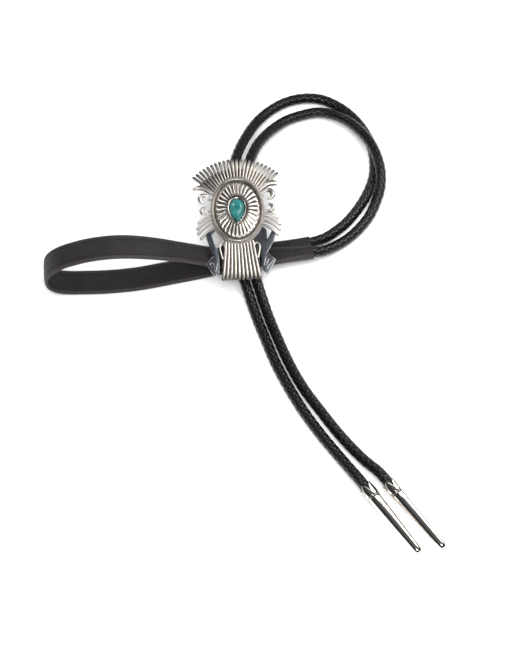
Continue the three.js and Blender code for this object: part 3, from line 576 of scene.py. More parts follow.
def flute_tree():
    """Convex flutes round a dome and fine slanting cuts in its rim band."""
    tree, start, end = start_tree("fluted_dome", {
        "Flutes": 30, "Flute Depth": 0.0007, "Scallop": 0.05, "Cuts": 110,
        "Cut Depth": 0.0002, "Cut Lean": 60.0})
    turn = add(tree, "GeometryNodeInputNamedAttribute", {"Name": "turn"}, data_type="FLOAT")
    share = add(tree, "GeometryNodeInputNamedAttribute", {"Name": "share"}, data_type="FLOAT")
    plain = add(tree, "GeometryNodeInputNamedAttribute", {"Name": "polish"}, data_type="FLOAT")
    half_turns = add(tree, "ShaderNodeMath", {0: start.outputs["Flutes"], 1: 0.5},
                     operation="MULTIPLY")
    lobe_angle = add(tree, "ShaderNodeMath", {0: turn, 1: half_turns}, operation="MULTIPLY")
    lobe_wave = add(tree, "ShaderNodeMath", {0: lobe_angle}, operation="COSINE")
    lobe = add(tree, "ShaderNodeMath", {0: lobe_wave}, operation="ABSOLUTE")
    # Each flute ends in a rounded scallop inside the ridge.
    edge = add(tree, "ShaderNodeMath", {0: lobe, 1: start.outputs["Scallop"],
                                        2: 0.745}, operation="MULTIPLY_ADD")
    past = add(tree, "ShaderNodeMath", {0: share, 1: edge}, operation="SUBTRACT")
    mask = add(tree, "ShaderNodeMapRange", {
        "Value": past, "From Min": 0.012, "From Max": -0.012, "To Min": 0.0,
        "To Max": 1.0}, interpolation_type="SMOOTHSTEP")
    narrowing = add(tree, "ShaderNodeMapRange", {
        "Value": share, "From Min": 0.38, "From Max": 0.78, "To Min": 0.25,
        "To Max": 1.0})
    rounded = add(tree, "ShaderNodeMath", {0: lobe, 1: 0.75}, operation="POWER")
    lift = add(tree, "ShaderNodeMath", {0: rounded, 1: 0.6}, operation="SUBTRACT")
    sized = add(tree, "ShaderNodeMath", {0: lift, 1: narrowing}, operation="MULTIPLY")
    masked = add(tree, "ShaderNodeMath", {0: sized, 1: mask}, operation="MULTIPLY")
    flute_rise = add(tree, "ShaderNodeMath", {0: masked,
                                              1: start.outputs["Flute Depth"]},
                     operation="MULTIPLY")
    band = add(tree, "GeometryNodeInputNamedAttribute", {"Name": "cut_band"}, data_type="FLOAT")
    lean = add(tree, "ShaderNodeMath", {0: share, 1: start.outputs["Cut Lean"]},
               operation="MULTIPLY")
    cut_angle = add(tree, "ShaderNodeMath", {0: turn, 1: start.outputs["Cuts"],
                                             2: lean}, operation="MULTIPLY_ADD")
    cut_wave = add(tree, "ShaderNodeMath", {0: cut_angle}, operation="SINE")
    cut = add(tree, "ShaderNodeMath", {0: cut_wave, 1: band}, operation="MULTIPLY")
    height = add(tree, "ShaderNodeMath", {0: cut, 1: start.outputs["Cut Depth"],
                                          2: flute_rise}, operation="MULTIPLY_ADD")
    offset = add(tree, "ShaderNodeCombineXYZ", {"Z": height})
    # Oxide stays between the flutes and in the cuts.
    valley = add(tree, "ShaderNodeMapRange", {
        "Value": lobe, "From Min": 0.08, "From Max": 0.42, "To Min": 1.0,
        "To Max": 0.0})
    dark = add(tree, "ShaderNodeMath", {0: valley, 1: mask}, operation="MULTIPLY")
    cut_dark = add(tree, "ShaderNodeMath", {0: cut, 1: 0.3}, operation="MULTIPLY")
    shine = add(tree, "ShaderNodeMath", {0: plain, 1: dark}, operation="SUBTRACT")
    total = add(tree, "ShaderNodeMath", {0: shine, 1: cut_dark},
                operation="ADD", use_clamp=True)
    stored = add(tree, "GeometryNodeStoreNamedAttribute", {
        "Geometry": start.outputs["Geometry"], "Name": "polish", "Value": total},
        data_type="FLOAT", domain="POINT")
    raised = add(tree, "GeometryNodeSetPosition", {"Geometry": stored, "Offset": offset})
    end_tree(tree, start, end, raised)
    return tree


# ---- Materials ------------------------------------------------------------------------------

def new_material(name):
    """A material with its tree, its main shader and the object's own coordinates."""
    material = bpy.data.materials.new(name)
    material.use_nodes = True
    tree = material.node_tree
    shader = tree.nodes["Principled BSDF"]
    place = add(tree, "ShaderNodeTexCoord")
    return material, tree, shader, place.outputs["Object"]


def strap_leather(settings):
    """Drum-dyed calf leather, fine pebbled grain: soft sheen, faint brown in the black."""
    material, tree, shader, place = new_material("drum_dyed_calf_leather")
    # Pebbles of about 0.9 mm over broad pulls in the hide of about 12 mm.
    pebble = add(tree, "ShaderNodeTexVoronoi", {"Vector": place, "Scale": 1 / (0.9 * MM)},
                 feature="SMOOTH_F1")
    hide = add(tree, "ShaderNodeTexNoise", {"Vector": place, "Scale": 1 / (12 * MM),
                                            "Detail": 4.0})
    pores = add(tree, "ShaderNodeTexNoise", {"Vector": place, "Scale": 1 / (0.35 * MM),
                                             "Detail": 3.0})
    tone = add(tree, "ShaderNodeValToRGB", {"Fac": hide.outputs["Fac"]})
    tone.color_ramp.elements[0].position = 0.3
    tone.color_ramp.elements[0].color = linear("#171416")
    tone.color_ramp.elements[1].position = 0.75
    tone.color_ramp.elements[1].color = settings.strap_colour
    # The rolled edges are painted paler, a painted highlight, and the seam grooves are painted
    # near black, a painted shade.
    edge = add(tree, "ShaderNodeAttribute", attribute_name="edge")
    painted_edge_highlight = add(tree, "ShaderNodeMix", {0: edge.outputs["Fac"], 6: tone,
                                         7: settings.edge_highlight_colour}, data_type="RGBA")
    seam = add(tree, "ShaderNodeAttribute", attribute_name="seam")
    colour = add(tree, "ShaderNodeMix", {0: seam.outputs["Fac"], 6: painted_edge_highlight.outputs[2],
                                         7: linear("#080708")}, data_type="RGBA")
    rough = add(tree, "ShaderNodeMapRange", {
        "Value": pores.outputs["Fac"], "To Min": 0.55, "To Max": 0.7})
    grain = add(tree, "ShaderNodeMath", {0: pebble.outputs["Distance"], 1: 0.6,
                                         2: pores.outputs["Fac"]}, operation="MULTIPLY_ADD")
    bump = add(tree, "ShaderNodeBump", {"Height": grain, "Strength": 0.35, "Distance": 0.00025})
    set_inputs(tree, shader, {"Base Color": colour.outputs[2], "Roughness": rough,
                              "Normal": bump, "IOR": 1.5})
    return material


def lace_leather(settings):
    """Waxed kangaroo-type lace, skived flat: near-black with grey glints on each crossing."""
    material, tree, shader, place = new_material("waxed_leather_lace")
    across = add(tree, "ShaderNodeAttribute", attribute_name="across")
    edge = add(tree, "ShaderNodeMath", {0: across.outputs["Fac"]}, operation="ABSOLUTE")
    grain = add(tree, "ShaderNodeTexNoise", {"Vector": place, "Scale": 1 / (0.5 * MM),
                                             "Detail": 4.0})
    dye = add(tree, "ShaderNodeTexNoise", {"Vector": place, "Scale": 1 / (6 * MM)})
    tone = add(tree, "ShaderNodeValToRGB", {"Fac": dye.outputs["Fac"]})
    tone.color_ramp.elements[0].position = 0.35
    tone.color_ramp.elements[0].color = linear("#060607")
    tone.color_ramp.elements[1].position = 0.7
    tone.color_ramp.elements[1].color = settings.cord_colour
    # The lace edges, where the laces meet, are painted near black: painted shade in the gaps.
    depth = add(tree, "ShaderNodeMapRange", {
        "Value": edge, "From Min": 0.7, "From Max": 1.0, "To Min": 0.0,
        "To Max": 0.85})
    colour = add(tree, "ShaderNodeMix", {0: depth, 6: tone,
                                         7: linear("#050505")}, data_type="RGBA")
    rough = add(tree, "ShaderNodeMapRange", {
        "Value": grain.outputs["Fac"], "To Min": 0.2, "To Max": 0.34})
    bump = add(tree, "ShaderNodeBump", {"Height": grain.outputs["Fac"], "Strength": 0.25,
                                        "Distance": 0.00012})
    set_inputs(tree, shader, {"Base Color": colour.outputs[2], "Roughness": rough,
                              "Normal": bump, "IOR": 1.5})
    return material


def sewing_thread():
    """Bonded nylon thread, black: a slightly brighter dash on the leather."""
    material, tree, shader, place = new_material("bonded_nylon_thread")
    # The ply's twist repeats about every 0.4 mm.
    ply_twist_and_painted_shade = add(tree, "ShaderNodeTexWave", {"Vector": place, "Scale": 0.3 / (0.4 * MM)},
                bands_direction="DIAGONAL")
    # The twist bands are painted darker in the grooves between plies and paler on their crowns:
    # painted shade and painted highlight.
    tone = add(tree, "ShaderNodeValToRGB", {"Fac": ply_twist_and_painted_shade.outputs["Fac"]})
    tone.color_ramp.elements[0].color = linear("#1C191B")
    tone.color_ramp.elements[1].color = linear("#343033")
    bump = add(tree, "ShaderNodeBump", {"Height": ply_twist_and_painted_shade.outputs["Fac"], "Strength": 0.3,
                                        "Distance": 0.00008})
    set_inputs(tree, shader, {"Base Color": tone, "Normal": bump, "Roughness": 0.5})
    return material


def silver(name, bright, oxide, smooth, dull):
    """Sterling silver, liver-of-sulphur oxide polished off the high spots by hand."""
    material, tree, shader, place = new_material(name)
    # Polish mixes oxide and bright silver: real oxide in the hollows, and painted shade on the
    # bent outer ends of the crest feathers and tail wires.
    polish = add(tree, "ShaderNodeAttribute", attribute_name="polish")
    # Buffing leaves patches of about 4 mm and fine scratches, drawn 0.25 mm apart to show.
    patches = add(tree, "ShaderNodeTexNoise", {"Vector": place, "Scale": 1 / (4 * MM),
                                               "Detail": 3.0})
    scratches = add(tree, "ShaderNodeTexNoise", {"Vector": place, "Scale": 1 / (0.25 * MM),
                                                 "Detail": 2.0})
    worn = add(tree, "ShaderNodeMath", {0: patches.outputs["Fac"], 1: 0.35, 2: -0.17},
               operation="MULTIPLY_ADD")
    amount = add(tree, "ShaderNodeMath", {0: polish.outputs["Fac"], 1: worn},
                 operation="ADD", use_clamp=True)
    colour = add(tree, "ShaderNodeMix", {0: amount, 6: linear(oxide), 7: linear(bright)},
                 data_type="RGBA")
    level = add(tree, "ShaderNodeMapRange", {"Value": amount, "To Min": dull, "To Max": smooth})
    fine = add(tree, "ShaderNodeMath", {0: scratches.outputs["Fac"], 1: 0.12,
                                        2: level}, operation="MULTIPLY_ADD")
    bump = add(tree, "ShaderNodeBump", {"Height": scratches.outputs["Fac"], "Strength": 0.08,
                                        "Distance": 0.00006})
    set_inputs(tree, shader, {"Base Color": colour.outputs[2], "Roughness": fine,
                              "Normal": bump, "Metallic": 1.0})
    return material


def turquoise(settings):
    """Stabilised turquoise, cabochon-polished: soft blue-green with dark matrix specks."""
    material, tree, shader, place = new_material("polished_turquoise")
    clouds = add(tree, "ShaderNodeTexNoise", {"Vector": place, "Scale": 1 / (5 * MM),
                                              "Detail": 3.0})
    tone = add(tree, "ShaderNodeValToRGB", {"Fac": clouds.outputs["Fac"]})
    tone.color_ramp.elements[0].position = 0.3
    tone.color_ramp.elements[0].color = linear("#1A5A58")
    tone.color_ramp.elements[1].position = 0.7
    tone.color_ramp.elements[1].color = settings.stone_colour
    # Matrix: host-rock specks of about 0.6 mm.
    specks = add(tree, "ShaderNodeTexNoise", {"Vector": place, "Scale": 1 / (1.5 * MM),
                                              "Detail": 6.0, "Roughness": 0.7})
    rock = add(tree, "ShaderNodeMapRange", {
        "Value": specks.outputs["Fac"], "From Min": 0.56, "From Max": 0.62, "To Min": 0.0,
        "To Max": 0.85})
    colour = add(tree, "ShaderNodeMix", {0: rock, 6: tone, 7: linear("#3B2F26")},
                 data_type="RGBA")
    bump = add(tree, "ShaderNodeBump", {"Height": specks.outputs["Fac"], "Strength": 0.06,
                                        "Distance": 0.0001})
    set_inputs(tree, shader, {
        "Base Color": colour.outputs[2], "Normal": bump, "Roughness": 0.12, "IOR": 1.61,
        "Subsurface Weight": 0.06, "Subsurface Scale": 0.0006})
    return material


def floor_paper(settings):
    """Matt white background paper: no gloss, so only soft shadows show."""
    material, tree, shader, place = new_material("matt_background_paper")
    fibres = add(tree, "ShaderNodeTexNoise", {"Vector": place, "Scale": 1 / (2 * MM)})
    tone = add(tree, "ShaderNodeValToRGB", {"Fac": fibres.outputs["Fac"]})
    tone.color_ramp.elements[0].color = settings.floor_colour
    tone.color_ramp.elements[1].color = linear("#F7F7F7")
    set_inputs(tree, shader, {"Base Color": tone, "Roughness": 0.9, "Specular IOR Level": 0.1})
    return material


def shared_material(name, make, *arguments):
    """A material made once and used by several pieces."""
    return bpy.data.materials.get(name) or make(*arguments)


def oxidised_silver():
    """The ornament's soldered work: bright on top, black in the recesses."""
    return shared_material("oxidised_sterling_silver", silver, "oxidised_sterling_silver",
                           "#E9E1D7", "#232022", 0.26, 0.5)


def buffed_silver():
    """The tips and the wall round the stone: buffed bright all over."""
    return shared_material("buffed_sterling_silver", silver, "buffed_sterling_silver",
                           "#ECE6DE", "#2E2A2C", 0.07, 0.4)


def slate_silver():
    """Flat sheet left with a thin slate-blue oxide film, edges buffed bright."""
    return shared_material("slate_oxide_sheet_silver", silver, "slate_oxide_sheet_silver",
                           "#CFCDCB", "#3F4955", 0.16, 0.3)


# ---- Shapes ---------------------------------------------------------------------------------

def cord_path(route):
    """The cord's middle line, even points 0.7 mm apart, from 1.2 mm inside the strap's end."""
    curve = [point for point, _ in smooth_route(millimetres(route), 24)]
    inwards = (curve[0] - curve[1]).normalized()
    return even_points([curve[0] + inwards * 1.2 * MM] + curve, 0.7 * MM)


def strap_stations():
    """Each station of the strap: middle, across, up, width, thickness, all in metres."""
    points = millimetres([row[:3] for row in STRAP_ROUTE])
    route = smooth_route(points, 8)
    stations = []
    for number, (point, at) in enumerate(route):
        before = route[max(number - 1, 0)][0]
        after = route[min(number + 1, len(route) - 1)][0]
        width, thick, yaw = blended_row([row[3:] for row in STRAP_ROUTE], at)
        # The strap rests on the surface and never dips into it.
        thick = min(thick, 2 * point.z / MM)
        turn = math.radians(yaw)
        across = Vector((-math.sin(turn), math.cos(turn), 0))
        up = (after - before).cross(across).normalized()
        stations.append((point, across, up, width * MM, thick * MM))
    return stations


def strap_fullness(width, thick):
    """How square the strap's section is: 2 is an ellipse, and more is flatter."""
    return 2.1 + 1.5 * max(0.0, 1 - thick / width * 1.1)


def strap_height(across, width, thick):
    """Half the strap's thickness at a place across it, with its rounded edges and seams."""
    fullness = strap_fullness(width, thick)
    share = min(abs(across) / (width / 2), 1.0)
    groove = math.exp(-((abs(across) - seam_place(width)) / (0.42 * MM)) ** 2)
    depth = min(0.28, 0.32 * MM / (thick / 2))
    return thick / 2 * (1 - share ** fullness) ** (1 / fullness) * (1 - groove * depth)


def seam_place(width):
    """How far the seams lie from the strap's middle line."""
    return max(width / 2 - 2.6 * MM, width * 0.18)


def strap_outline(width, thick, count=88):
    """The strap's section as places across and up."""
    fullness = strap_fullness(width, thick)
    result = []
    for step in range(count):
        turn = (step + 0.5) / count * 2 * math.pi
        cosine = math.cos(turn)
        across = width / 2 * math.copysign(abs(cosine) ** (2 / fullness), cosine)
        up = math.copysign(strap_height(across, width, thick), math.sin(turn))
        result.append((across, up))
    return result


def strap_mesh():
    """The folded strap, closed round a pocket at each end that its cord comes out of."""
    stations = strap_stations()
    rings, edges, painted_seam_shade = [], [], []
    for point, across, up, width, thick in stations:
        outline = strap_outline(width, thick)
        rings.append([point + across * a + up * b for a, b in outline])
        for a, _ in outline:
            # Shares of painted highlight past the seams out to the rolled edges, and of painted
            # shade in the seam grooves.
            past = (abs(a) - seam_place(width)) / MM
            edges.append(min(max(past - 0.5, 0.0), 1.0))
            painted_seam_shade.append(0.8 * math.exp(-(past / 0.42) ** 2))
    count = len(rings[0])

    def pocket(station, inwards):
        point, across, up, width, thick = station
        outline = strap_outline(width, thick)
        bore = POCKET_BORE * MM
        rows = []
        for share, depth in ((0.35, -0.12), (0.8, -0.1), (1.0, 0.35), (1.0, 1.5)):
            row = []
            for a, b in outline:
                turn = math.atan2(b, a)
                inner = Vector((math.cos(turn), math.sin(turn))) * bore
                flat = Vector((a, b)).lerp(inner, share)
                row.append(point + across * flat.x + up * flat.y + inwards * depth * MM)
            rows.append(row)
        return rows

    first_way = (stations[1][0] - stations[0][0]).normalized()
    last_way = (stations[-2][0] - stations[-1][0]).normalized()
    start = pocket(stations[0], first_way)[::-1]
    end = pocket(stations[-1], last_way)
    rings = start + rings + end
    points = [point for ring in rings for point in ring]
    # The pocket ends take a little of the painted edge highlight and none of the painted seam
    # shade.
    plain = [0.3] * count * len(start)
    return new_mesh("neck_strap", points, ring_faces(len(rings), count), {
        "edge": plain + edges + plain, "seam": [0.0] * len(plain) + painted_seam_shade + [0.0] * len(plain)})


def stitch_lines():
    """The four seam lines on the strap, with the way out of the face under each."""
    lines, faces = [], []
    for side in (-1, 1):
        for face in (-1, 1):
            line = []
            for point, across, up, width, thick in strap_stations()[3:-3]:
                seam = seam_place(width)
                height = strap_height(seam, width, thick) + (0.0001 if face > 0 else 0.0)
                line.append(point + across * side * seam + up * face * height)
                faces.append(up * face)
            lines.append(line)
    return line_mesh("stitch_lines", lines, {"face": faces})


def tip_mesh(mouth, end, turn_by):
    """A turned silver tip with a mouth of pointed petals and two ring grooves."""
    mouth, end = (Vector(p) * MM for p in (mouth, end))
    # Radius, place along the axis, share of the petals' depth, polish.
    profile = [
        (3.30, 9.3, 0.0, 0.1), (3.32, 8.6, 0.0, 0.2), (3.42, 2.52, 1.0, 0.4),
        (3.62, 2.28, 1.0, 0.9), (3.82, 2.4, 1.0, 1.0), (3.90, 2.6, 1.0, 1.0),
        (3.93, 3.3, 0.885, 1.0), (3.93, 4.2, 0.741, 1.0), (3.88, 5.4, 0.554, 1.0),
        (3.82, 6.8, 0.339, 1.0), (3.76, 8.2, 0.134, 1.0), (3.72, 9.2, 0.0, 1.0),
        (3.70, 9.45, 0.0, 0.7), (3.50, 9.62, 0.0, 0.0), (3.60, 9.8, 0.0, 0.6),
        (3.84, 9.98, 0.0, 1.0), (3.90, 10.25, 0.0, 1.0), (3.84, 10.5, 0.0, 1.0),
        (3.60, 10.68, 0.0, 0.6), (3.48, 10.86, 0.0, 0.0), (3.56, 11.05, 0.0, 0.6),
        (3.60, 11.3, 0.0, 1.0), (3.48, 15.0, 0.0, 1.0), (3.36, 19.0, 0.0, 1.0),
        (3.18, 25.0, 0.0, 1.0), (2.92, 32.0, 0.0, 1.0), (2.62, 39.5, 0.0, 1.0),
        (2.36, 45.5, 0.0, 1.0), (2.24, 47.2, 0.0, 1.0), (2.02, 48.2, 0.0, 1.0),
        (1.60, 48.8, 0.0, 0.9), (0.90, 49.0, 0.0, 0.8),
    ]
    segments, petals, depth = 120, 5, 5.6
    points, polish = [], []
    for radius, along, share, shine in profile:
        for index in range(segments):
            turn = index / segments * 2 * math.pi
            place = abs((index * petals / segments + 0.5) % 1 - 0.5) * 2
            arch = 1 - (1 - place ** 1.8) ** 0.7
            flare = 0.12 * share * (1 - place)
            width = (radius + flare) * MM
            points.append(Vector((
                math.cos(turn) * width, math.sin(turn) * width,
                (along + share * arch * depth) * MM)))
            polish.append(shine)
    mesh = new_mesh("tip", points, ring_faces(len(profile), segments), {"polish": polish})
    ahead = (end - mouth).normalized()
    turn = Vector((0, 0, 1)).rotation_difference(ahead).to_matrix().to_4x4()
    mesh.transform(Matrix.Translation(mouth) @ turn @ Matrix.Rotation(turn_by, 4, "Z"))
    return mesh


def concho_radius(turn, scale=1.0):
    """The oval concho's radius along a ray from its middle, in millimetres."""
    return scale / math.hypot(math.cos(turn) / CONCHO_HALF_WIDTH,
                              math.sin(turn) / CONCHO_HALF_HEIGHT)


def concho_mesh(segments=720):
    """The plain oval dome before its flutes, with each point's turn and share of radius."""
    points, turns, shares, polish, band = [], [], [], [], []
    for share, height, shine in CONCHO_PROFILE:
        for index in range(segments):
            turn = index / segments * 2 * math.pi
            points.append(Vector((
                math.cos(turn) * share * CONCHO_HALF_WIDTH,
                math.sin(turn) * share * CONCHO_HALF_HEIGHT + CONCHO_RISE, height)) * MM)
            turns.append(turn)
            shares.append(share)
            polish.append(shine)
            band.append(1.0 if 0.945 < share < 0.975 else 0.0)
    faces = ring_faces(len(CONCHO_PROFILE), segments)
    return new_mesh("concho", points, faces, {
        "turn": turns, "share": shares, "polish": polish, "cut_band": band})


def pear_outline(margin, count=96):
    """A pear outline with its point down, grown by a margin, in millimetres."""
    width = STONE_WIDTH + 2 * margin
    height = STONE_HEIGHT + 2.6 * margin
    widest = (STONE_TAPER + 1) / (STONE_TAPER + 2)
    peak = 2 * widest ** ((STONE_TAPER + 1) / 2) * math.sqrt(1 - widest)
    points = []
    for i in range(count):
        turn = (i + 0.5) / count * 2 * math.pi
        bulge = math.sin(turn) * abs(math.sin(turn / 2)) ** STONE_TAPER
        points.append((bulge / peak * width / 2, -math.cos(turn) * height / 2))
    return points


def pear_rings(rows, closed_ends=(True, True)):
    """Rings of the pear outline: margin, scale about its middle, height, polish."""
    points, polish = [], []
    for margin, scale, height, shine in rows:
        for x, y in pear_outline(margin):
            middle_x, middle_y = STONE_MIDDLE
            points.append(Vector((x * scale + middle_x, y * scale + middle_y, height)) * MM)
            polish.append(shine)
    count = len(points) // len(rows)
    faces = ring_faces(len(rows), count, closed_ends)
    return new_mesh("pear", points, faces, {"polish": polish})


def plate_mesh(name, outline, back, thick, bevel=0.22, top_shine=1.0, side_shine=0.5):
    """A flat plate with rounded upper edges, from an outline in millimetres."""
    shape = bmesh.new()
    corners = [shape.verts.new(Vector((x, y, back)) * MM) for x, y in outline]
    face = shape.faces.new(corners)
    top = bmesh.ops.extrude_face_region(shape, geom=[face])
    lifted = [item for item in top["geom"] if isinstance(item, bmesh.types.BMVert)]
    bmesh.ops.translate(shape, verts=lifted, vec=(0, 0, thick * MM))
    level = (back + thick) * MM
    edges = [edge for edge in shape.edges if all(abs(v.co.z - level) < 1e-6 for v in edge.verts)]
    bmesh.ops.bevel(shape, geom=edges, offset=bevel * MM, segments=3, profile=0.5,
                    affect="EDGES")
    mesh = bpy.data.meshes.new(name)
    shape.to_mesh(mesh)
    shape.free()
    polish = []
    for vertex in mesh.vertices:
        share = (vertex.co.z / MM - back) / thick
        polish.append(top_shine if share > 0.995 else (1.0 if share > 0.8 else side_shine))
    mesh.attributes.new("polish", "FLOAT", "POINT").data.foreach_set("value", polish)
    return mesh


def rounded_end(place, start):
    """The share of its width that a wire keeps where its end closes in a half round."""
    return math.sqrt(max(0.0, 1 - max(0.0, (place - start) / (1 - start)) ** 2))


def bent_line(points, steps):
    """Even steps of a quadratic curve through a start, a bend and an end."""
    a, b, c = points
    result = []
    for i in range(steps + 1):
        t = i / steps
        result.append(a * (1 - t) ** 2 + b * 2 * t * (1 - t) + c * t * t)
    return result


def crest_lines():
    """The crest's feathers as lines that fan out above the concho."""
    lines, widths, polish = [], [], []
    for number in range(CREST_FEATHERS):
        side = (number + 0.5) / CREST_FEATHERS * 2 - 1
        angle = math.radians(90 - side * CREST_HALF_ANGLE)
        ray = Vector((math.cos(angle), math.sin(angle), 0))
        root = concho_radius(angle, 0.92)
        reach = CREST_REACH + 0.5 * side * side
        line = bent_line([
            (ray * root + Vector((0, 0, 1.3))) * MM, (ray * CREST_BEND + Vector((0, 0, 2.0))) * MM,
            (ray * reach + Vector((0, 0, 0.6))) * MM], 20)
        for i in range(len(line)):
            t = i / (len(line) - 1)
            swell = 0.60 + 0.30 * min(t / 0.7, 1.0)
            close = rounded_end(t, 0.86)
            widths.append((0.12 + (swell - 0.12) * close) * MM)
            # The outer part of each feather, where it bends back, is painted dark: painted shade.
            polish.append(1.0 if t < 0.62 else max(0.25, 1.0 - (t - 0.62) * 2.6))
        lines.append(line)
    return line_mesh("crest_lines", lines, {"half_width": widths, "line_polish_and_shade": polish})


def tail_lines():
    """The skirt of wires below the concho, with a hairpin at each upper corner."""
    lines, widths, polish = [], [], []
    for number in range(TAIL_WIRES):
        side = number / (TAIL_WIRES - 1) * 2 - 1
        top, bottom = side * 7.5, side * 10.4
        line = bent_line([
            Vector((top, -17.4, 1.4)) * MM, Vector(((top + bottom) / 2, -33.3, 2.4)) * MM,
            Vector((bottom, -40.4, 0.7)) * MM], 24)
        for i in range(len(line)):
            t = i / (len(line) - 1)
            close = rounded_end(t, 0.93)
            widths.append((0.15 + (0.62 + 0.32 * t) * close) * MM)
            # The lower end of each wire, where it bends away, is painted dark: painted shade.
            polish.append(1.0 if t < 0.7 else max(0.3, 1.0 - (t - 0.7) * 2.6))
        lines.append(line)
    for side in (-1, 1):
        loop = [point for point, _ in smooth_route(millimetres([
            (side * 9.0, -27.6, 1.5), (side * 8.3, -24.0, 1.5), (side * 8.1, -20.6, 1.5),
            (side * 9.6, -18.8, 1.5), (side * 11.1, -20.6, 1.5), (side * 10.7, -24.2, 1.5),
            (side * 9.8, -28.0, 1.5)]), 8)]
        lines.append(loop)
        widths += [0.72 * MM] * len(loop)
        polish += [1.0] * len(loop)
    return line_mesh("tail_lines", lines, {"half_width": widths, "line_polish_and_shade": polish})


def side_lines():
    """The crescents, leaves and side feathers beside the concho."""
    lines, widths, polish = [], [], []
    for x, y, radius, first, last, half in SCROLLS:
        line = []
        steps = 32
        for i in range(steps + 1):
            turn = math.radians(first + (last - first) * i / steps)
            line.append(Vector((x + math.cos(turn) * radius, y + math.sin(turn) * radius,
                                1.4)) * MM)
            widths.append((0.2 + (half - 0.2) * math.sin(math.pi * i / steps) ** 0.8) * MM)
            polish.append(1.0)
        lines.append(line)
    for leaf in LEAVES:
        curve = smooth_route([Vector((x, y, 1.4)) * MM for x, y, _ in leaf], 6)
        lines.append([point for point, _ in curve])
        widths += [blended_row([(w,) for _, _, w in leaf], at)[0] * MM for _, at in curve]
        polish += [0.9] * len(curve)
    for root, bend, point in SIDE_FEATHERS:
        line = bent_line([Vector((*root, 1.3)) * MM, Vector((*bend, 1.9)) * MM,
                          Vector((*point, 0.7)) * MM], 20)
        lines.append(line)
        for i in range(len(line)):
            t = i / (len(line) - 1)
            close = rounded_end(t, 0.9)
            widths.append((0.12 + (0.62 + 0.14 * t) * close) * MM)
            polish.append(0.85 + 0.15 * t)
    return line_mesh("side_lines", lines, {"half_width": widths, "line_polish_and_shade": polish})


def fret_lines():
    """The square spirals cut into the feet, as thin bright lines."""
    lines = [even_points([Vector((x, y, 1.19)) * MM for x, y in fret], 0.3 * MM)
             for fret in FRETS]
    count = sum(len(line) for line in lines)
    return line_mesh("fret_lines", lines, {
        "half_width": [0.27 * MM] * count, "line_polish_and_shade": [0.8] * count})


def fan_outline(low, high, half_angle, steps=24):
    """The crest plate's outline between the concho and a radius, in millimetres."""
    outline = []
    for i in range(steps + 1):
        turn = math.radians(90 + half_angle - 2 * half_angle * i / steps)
        outline.append((math.cos(turn) * high, math.sin(turn) * high))
    for i in range(steps, -1, -1):
        turn = math.radians(90 + half_angle - 2 * half_angle * i / steps)
        radius = concho_radius(turn, low)
        outline.append((math.cos(turn) * radius, math.sin(turn) * radius))
    return outline


def joined_mesh(name, meshes):
    """One mesh from several, which keep their attributes."""
    result = bmesh.new()
    layer = result.verts.layers.float.new("polish")
    for mesh in meshes:
        values = [0.0] * len(mesh.vertices)
        mesh.attributes["polish"].data.foreach_get("value", values)
        first = len(result.verts)
        result.from_mesh(mesh)
        result.verts.ensure_lookup_table()
        for offset, value in enumerate(values):
            result.verts[first + offset][layer] = value
        bpy.data.meshes.remove(mesh)
    mesh = bpy.data.meshes.new(name)
    result.to_mesh(mesh)
    result.free()
    return mesh


# ---- Settings -------------------------------------------------------------------------------

class LeatherSettings(bpy.types.PropertyGroup):
    """The sizes and colours of the leather."""

    strap_colour: bpy.props.FloatVectorProperty(
        name="Strap Colour", description="Colour of the neck strap's leather",
        subtype="COLOR", size=4, min=0, max=1, default=linear("#211D1F"))
    # The colour of the painted highlight along the strap's rolled edges.
    edge_highlight_colour: bpy.props.FloatVectorProperty(
        name="Edge Colour", description="Colour of the strap's rubbed edges",
        subtype="COLOR", size=4, min=0, max=1, default=linear("#302B2D"))
    cord_colour: bpy.props.FloatVectorProperty(
        name="Cord Colour", description="Colour of the cords' leather laces",
        subtype="COLOR", size=4, min=0, max=1, default=linear("#0D0D0F"))
    laces: bpy.props.IntProperty(
        name="Laces", description="Number of laces in each cord, an even number",
        default=8, min=4, max=16)
    lace_turn: bpy.props.FloatProperty(
        name="Lace Turn", description="Length of cord in which a lace goes round once",
        subtype="DISTANCE", default=0.0176, min=0.005)
    lace_width: bpy.props.FloatProperty(
        name="Lace Width", description="Width of one lace",
        subtype="DISTANCE", default=0.00275, min=0.0005)
    lace_thickness: bpy.props.FloatProperty(
        name="Lace Thickness", description="Thickness of one lace",
        subtype="DISTANCE", default=0.0008, min=0.0002)
    stitch_pitch: bpy.props.FloatProperty(
        name="Stitch Pitch", description="Distance from one stitch to the next",
        subtype="DISTANCE", default=0.0025, min=0.001)


class OrnamentSettings(bpy.types.PropertyGroup):
    """The sizes and colours of the slide ornament."""

    stone_colour: bpy.props.FloatVectorProperty(
        name="Stone Colour", description="Lighter colour of the turquoise",
        subtype="COLOR", size=4, min=0, max=1, default=linear("#3A8483"))
    flutes: bpy.props.IntProperty(
        name="Flutes", description="Number of flutes round the concho", default=30, min=8)
    flute_depth: bpy.props.FloatProperty(
        name="Flute Depth", description="Depth between two flutes",
        subtype="DISTANCE", default=0.0007, min=0)
    wire_dome: bpy.props.FloatProperty(
        name="Wire Dome", description="Height of a wire's dome as a share of its half width",
        subtype="FACTOR", default=0.85, min=0.1, max=1)


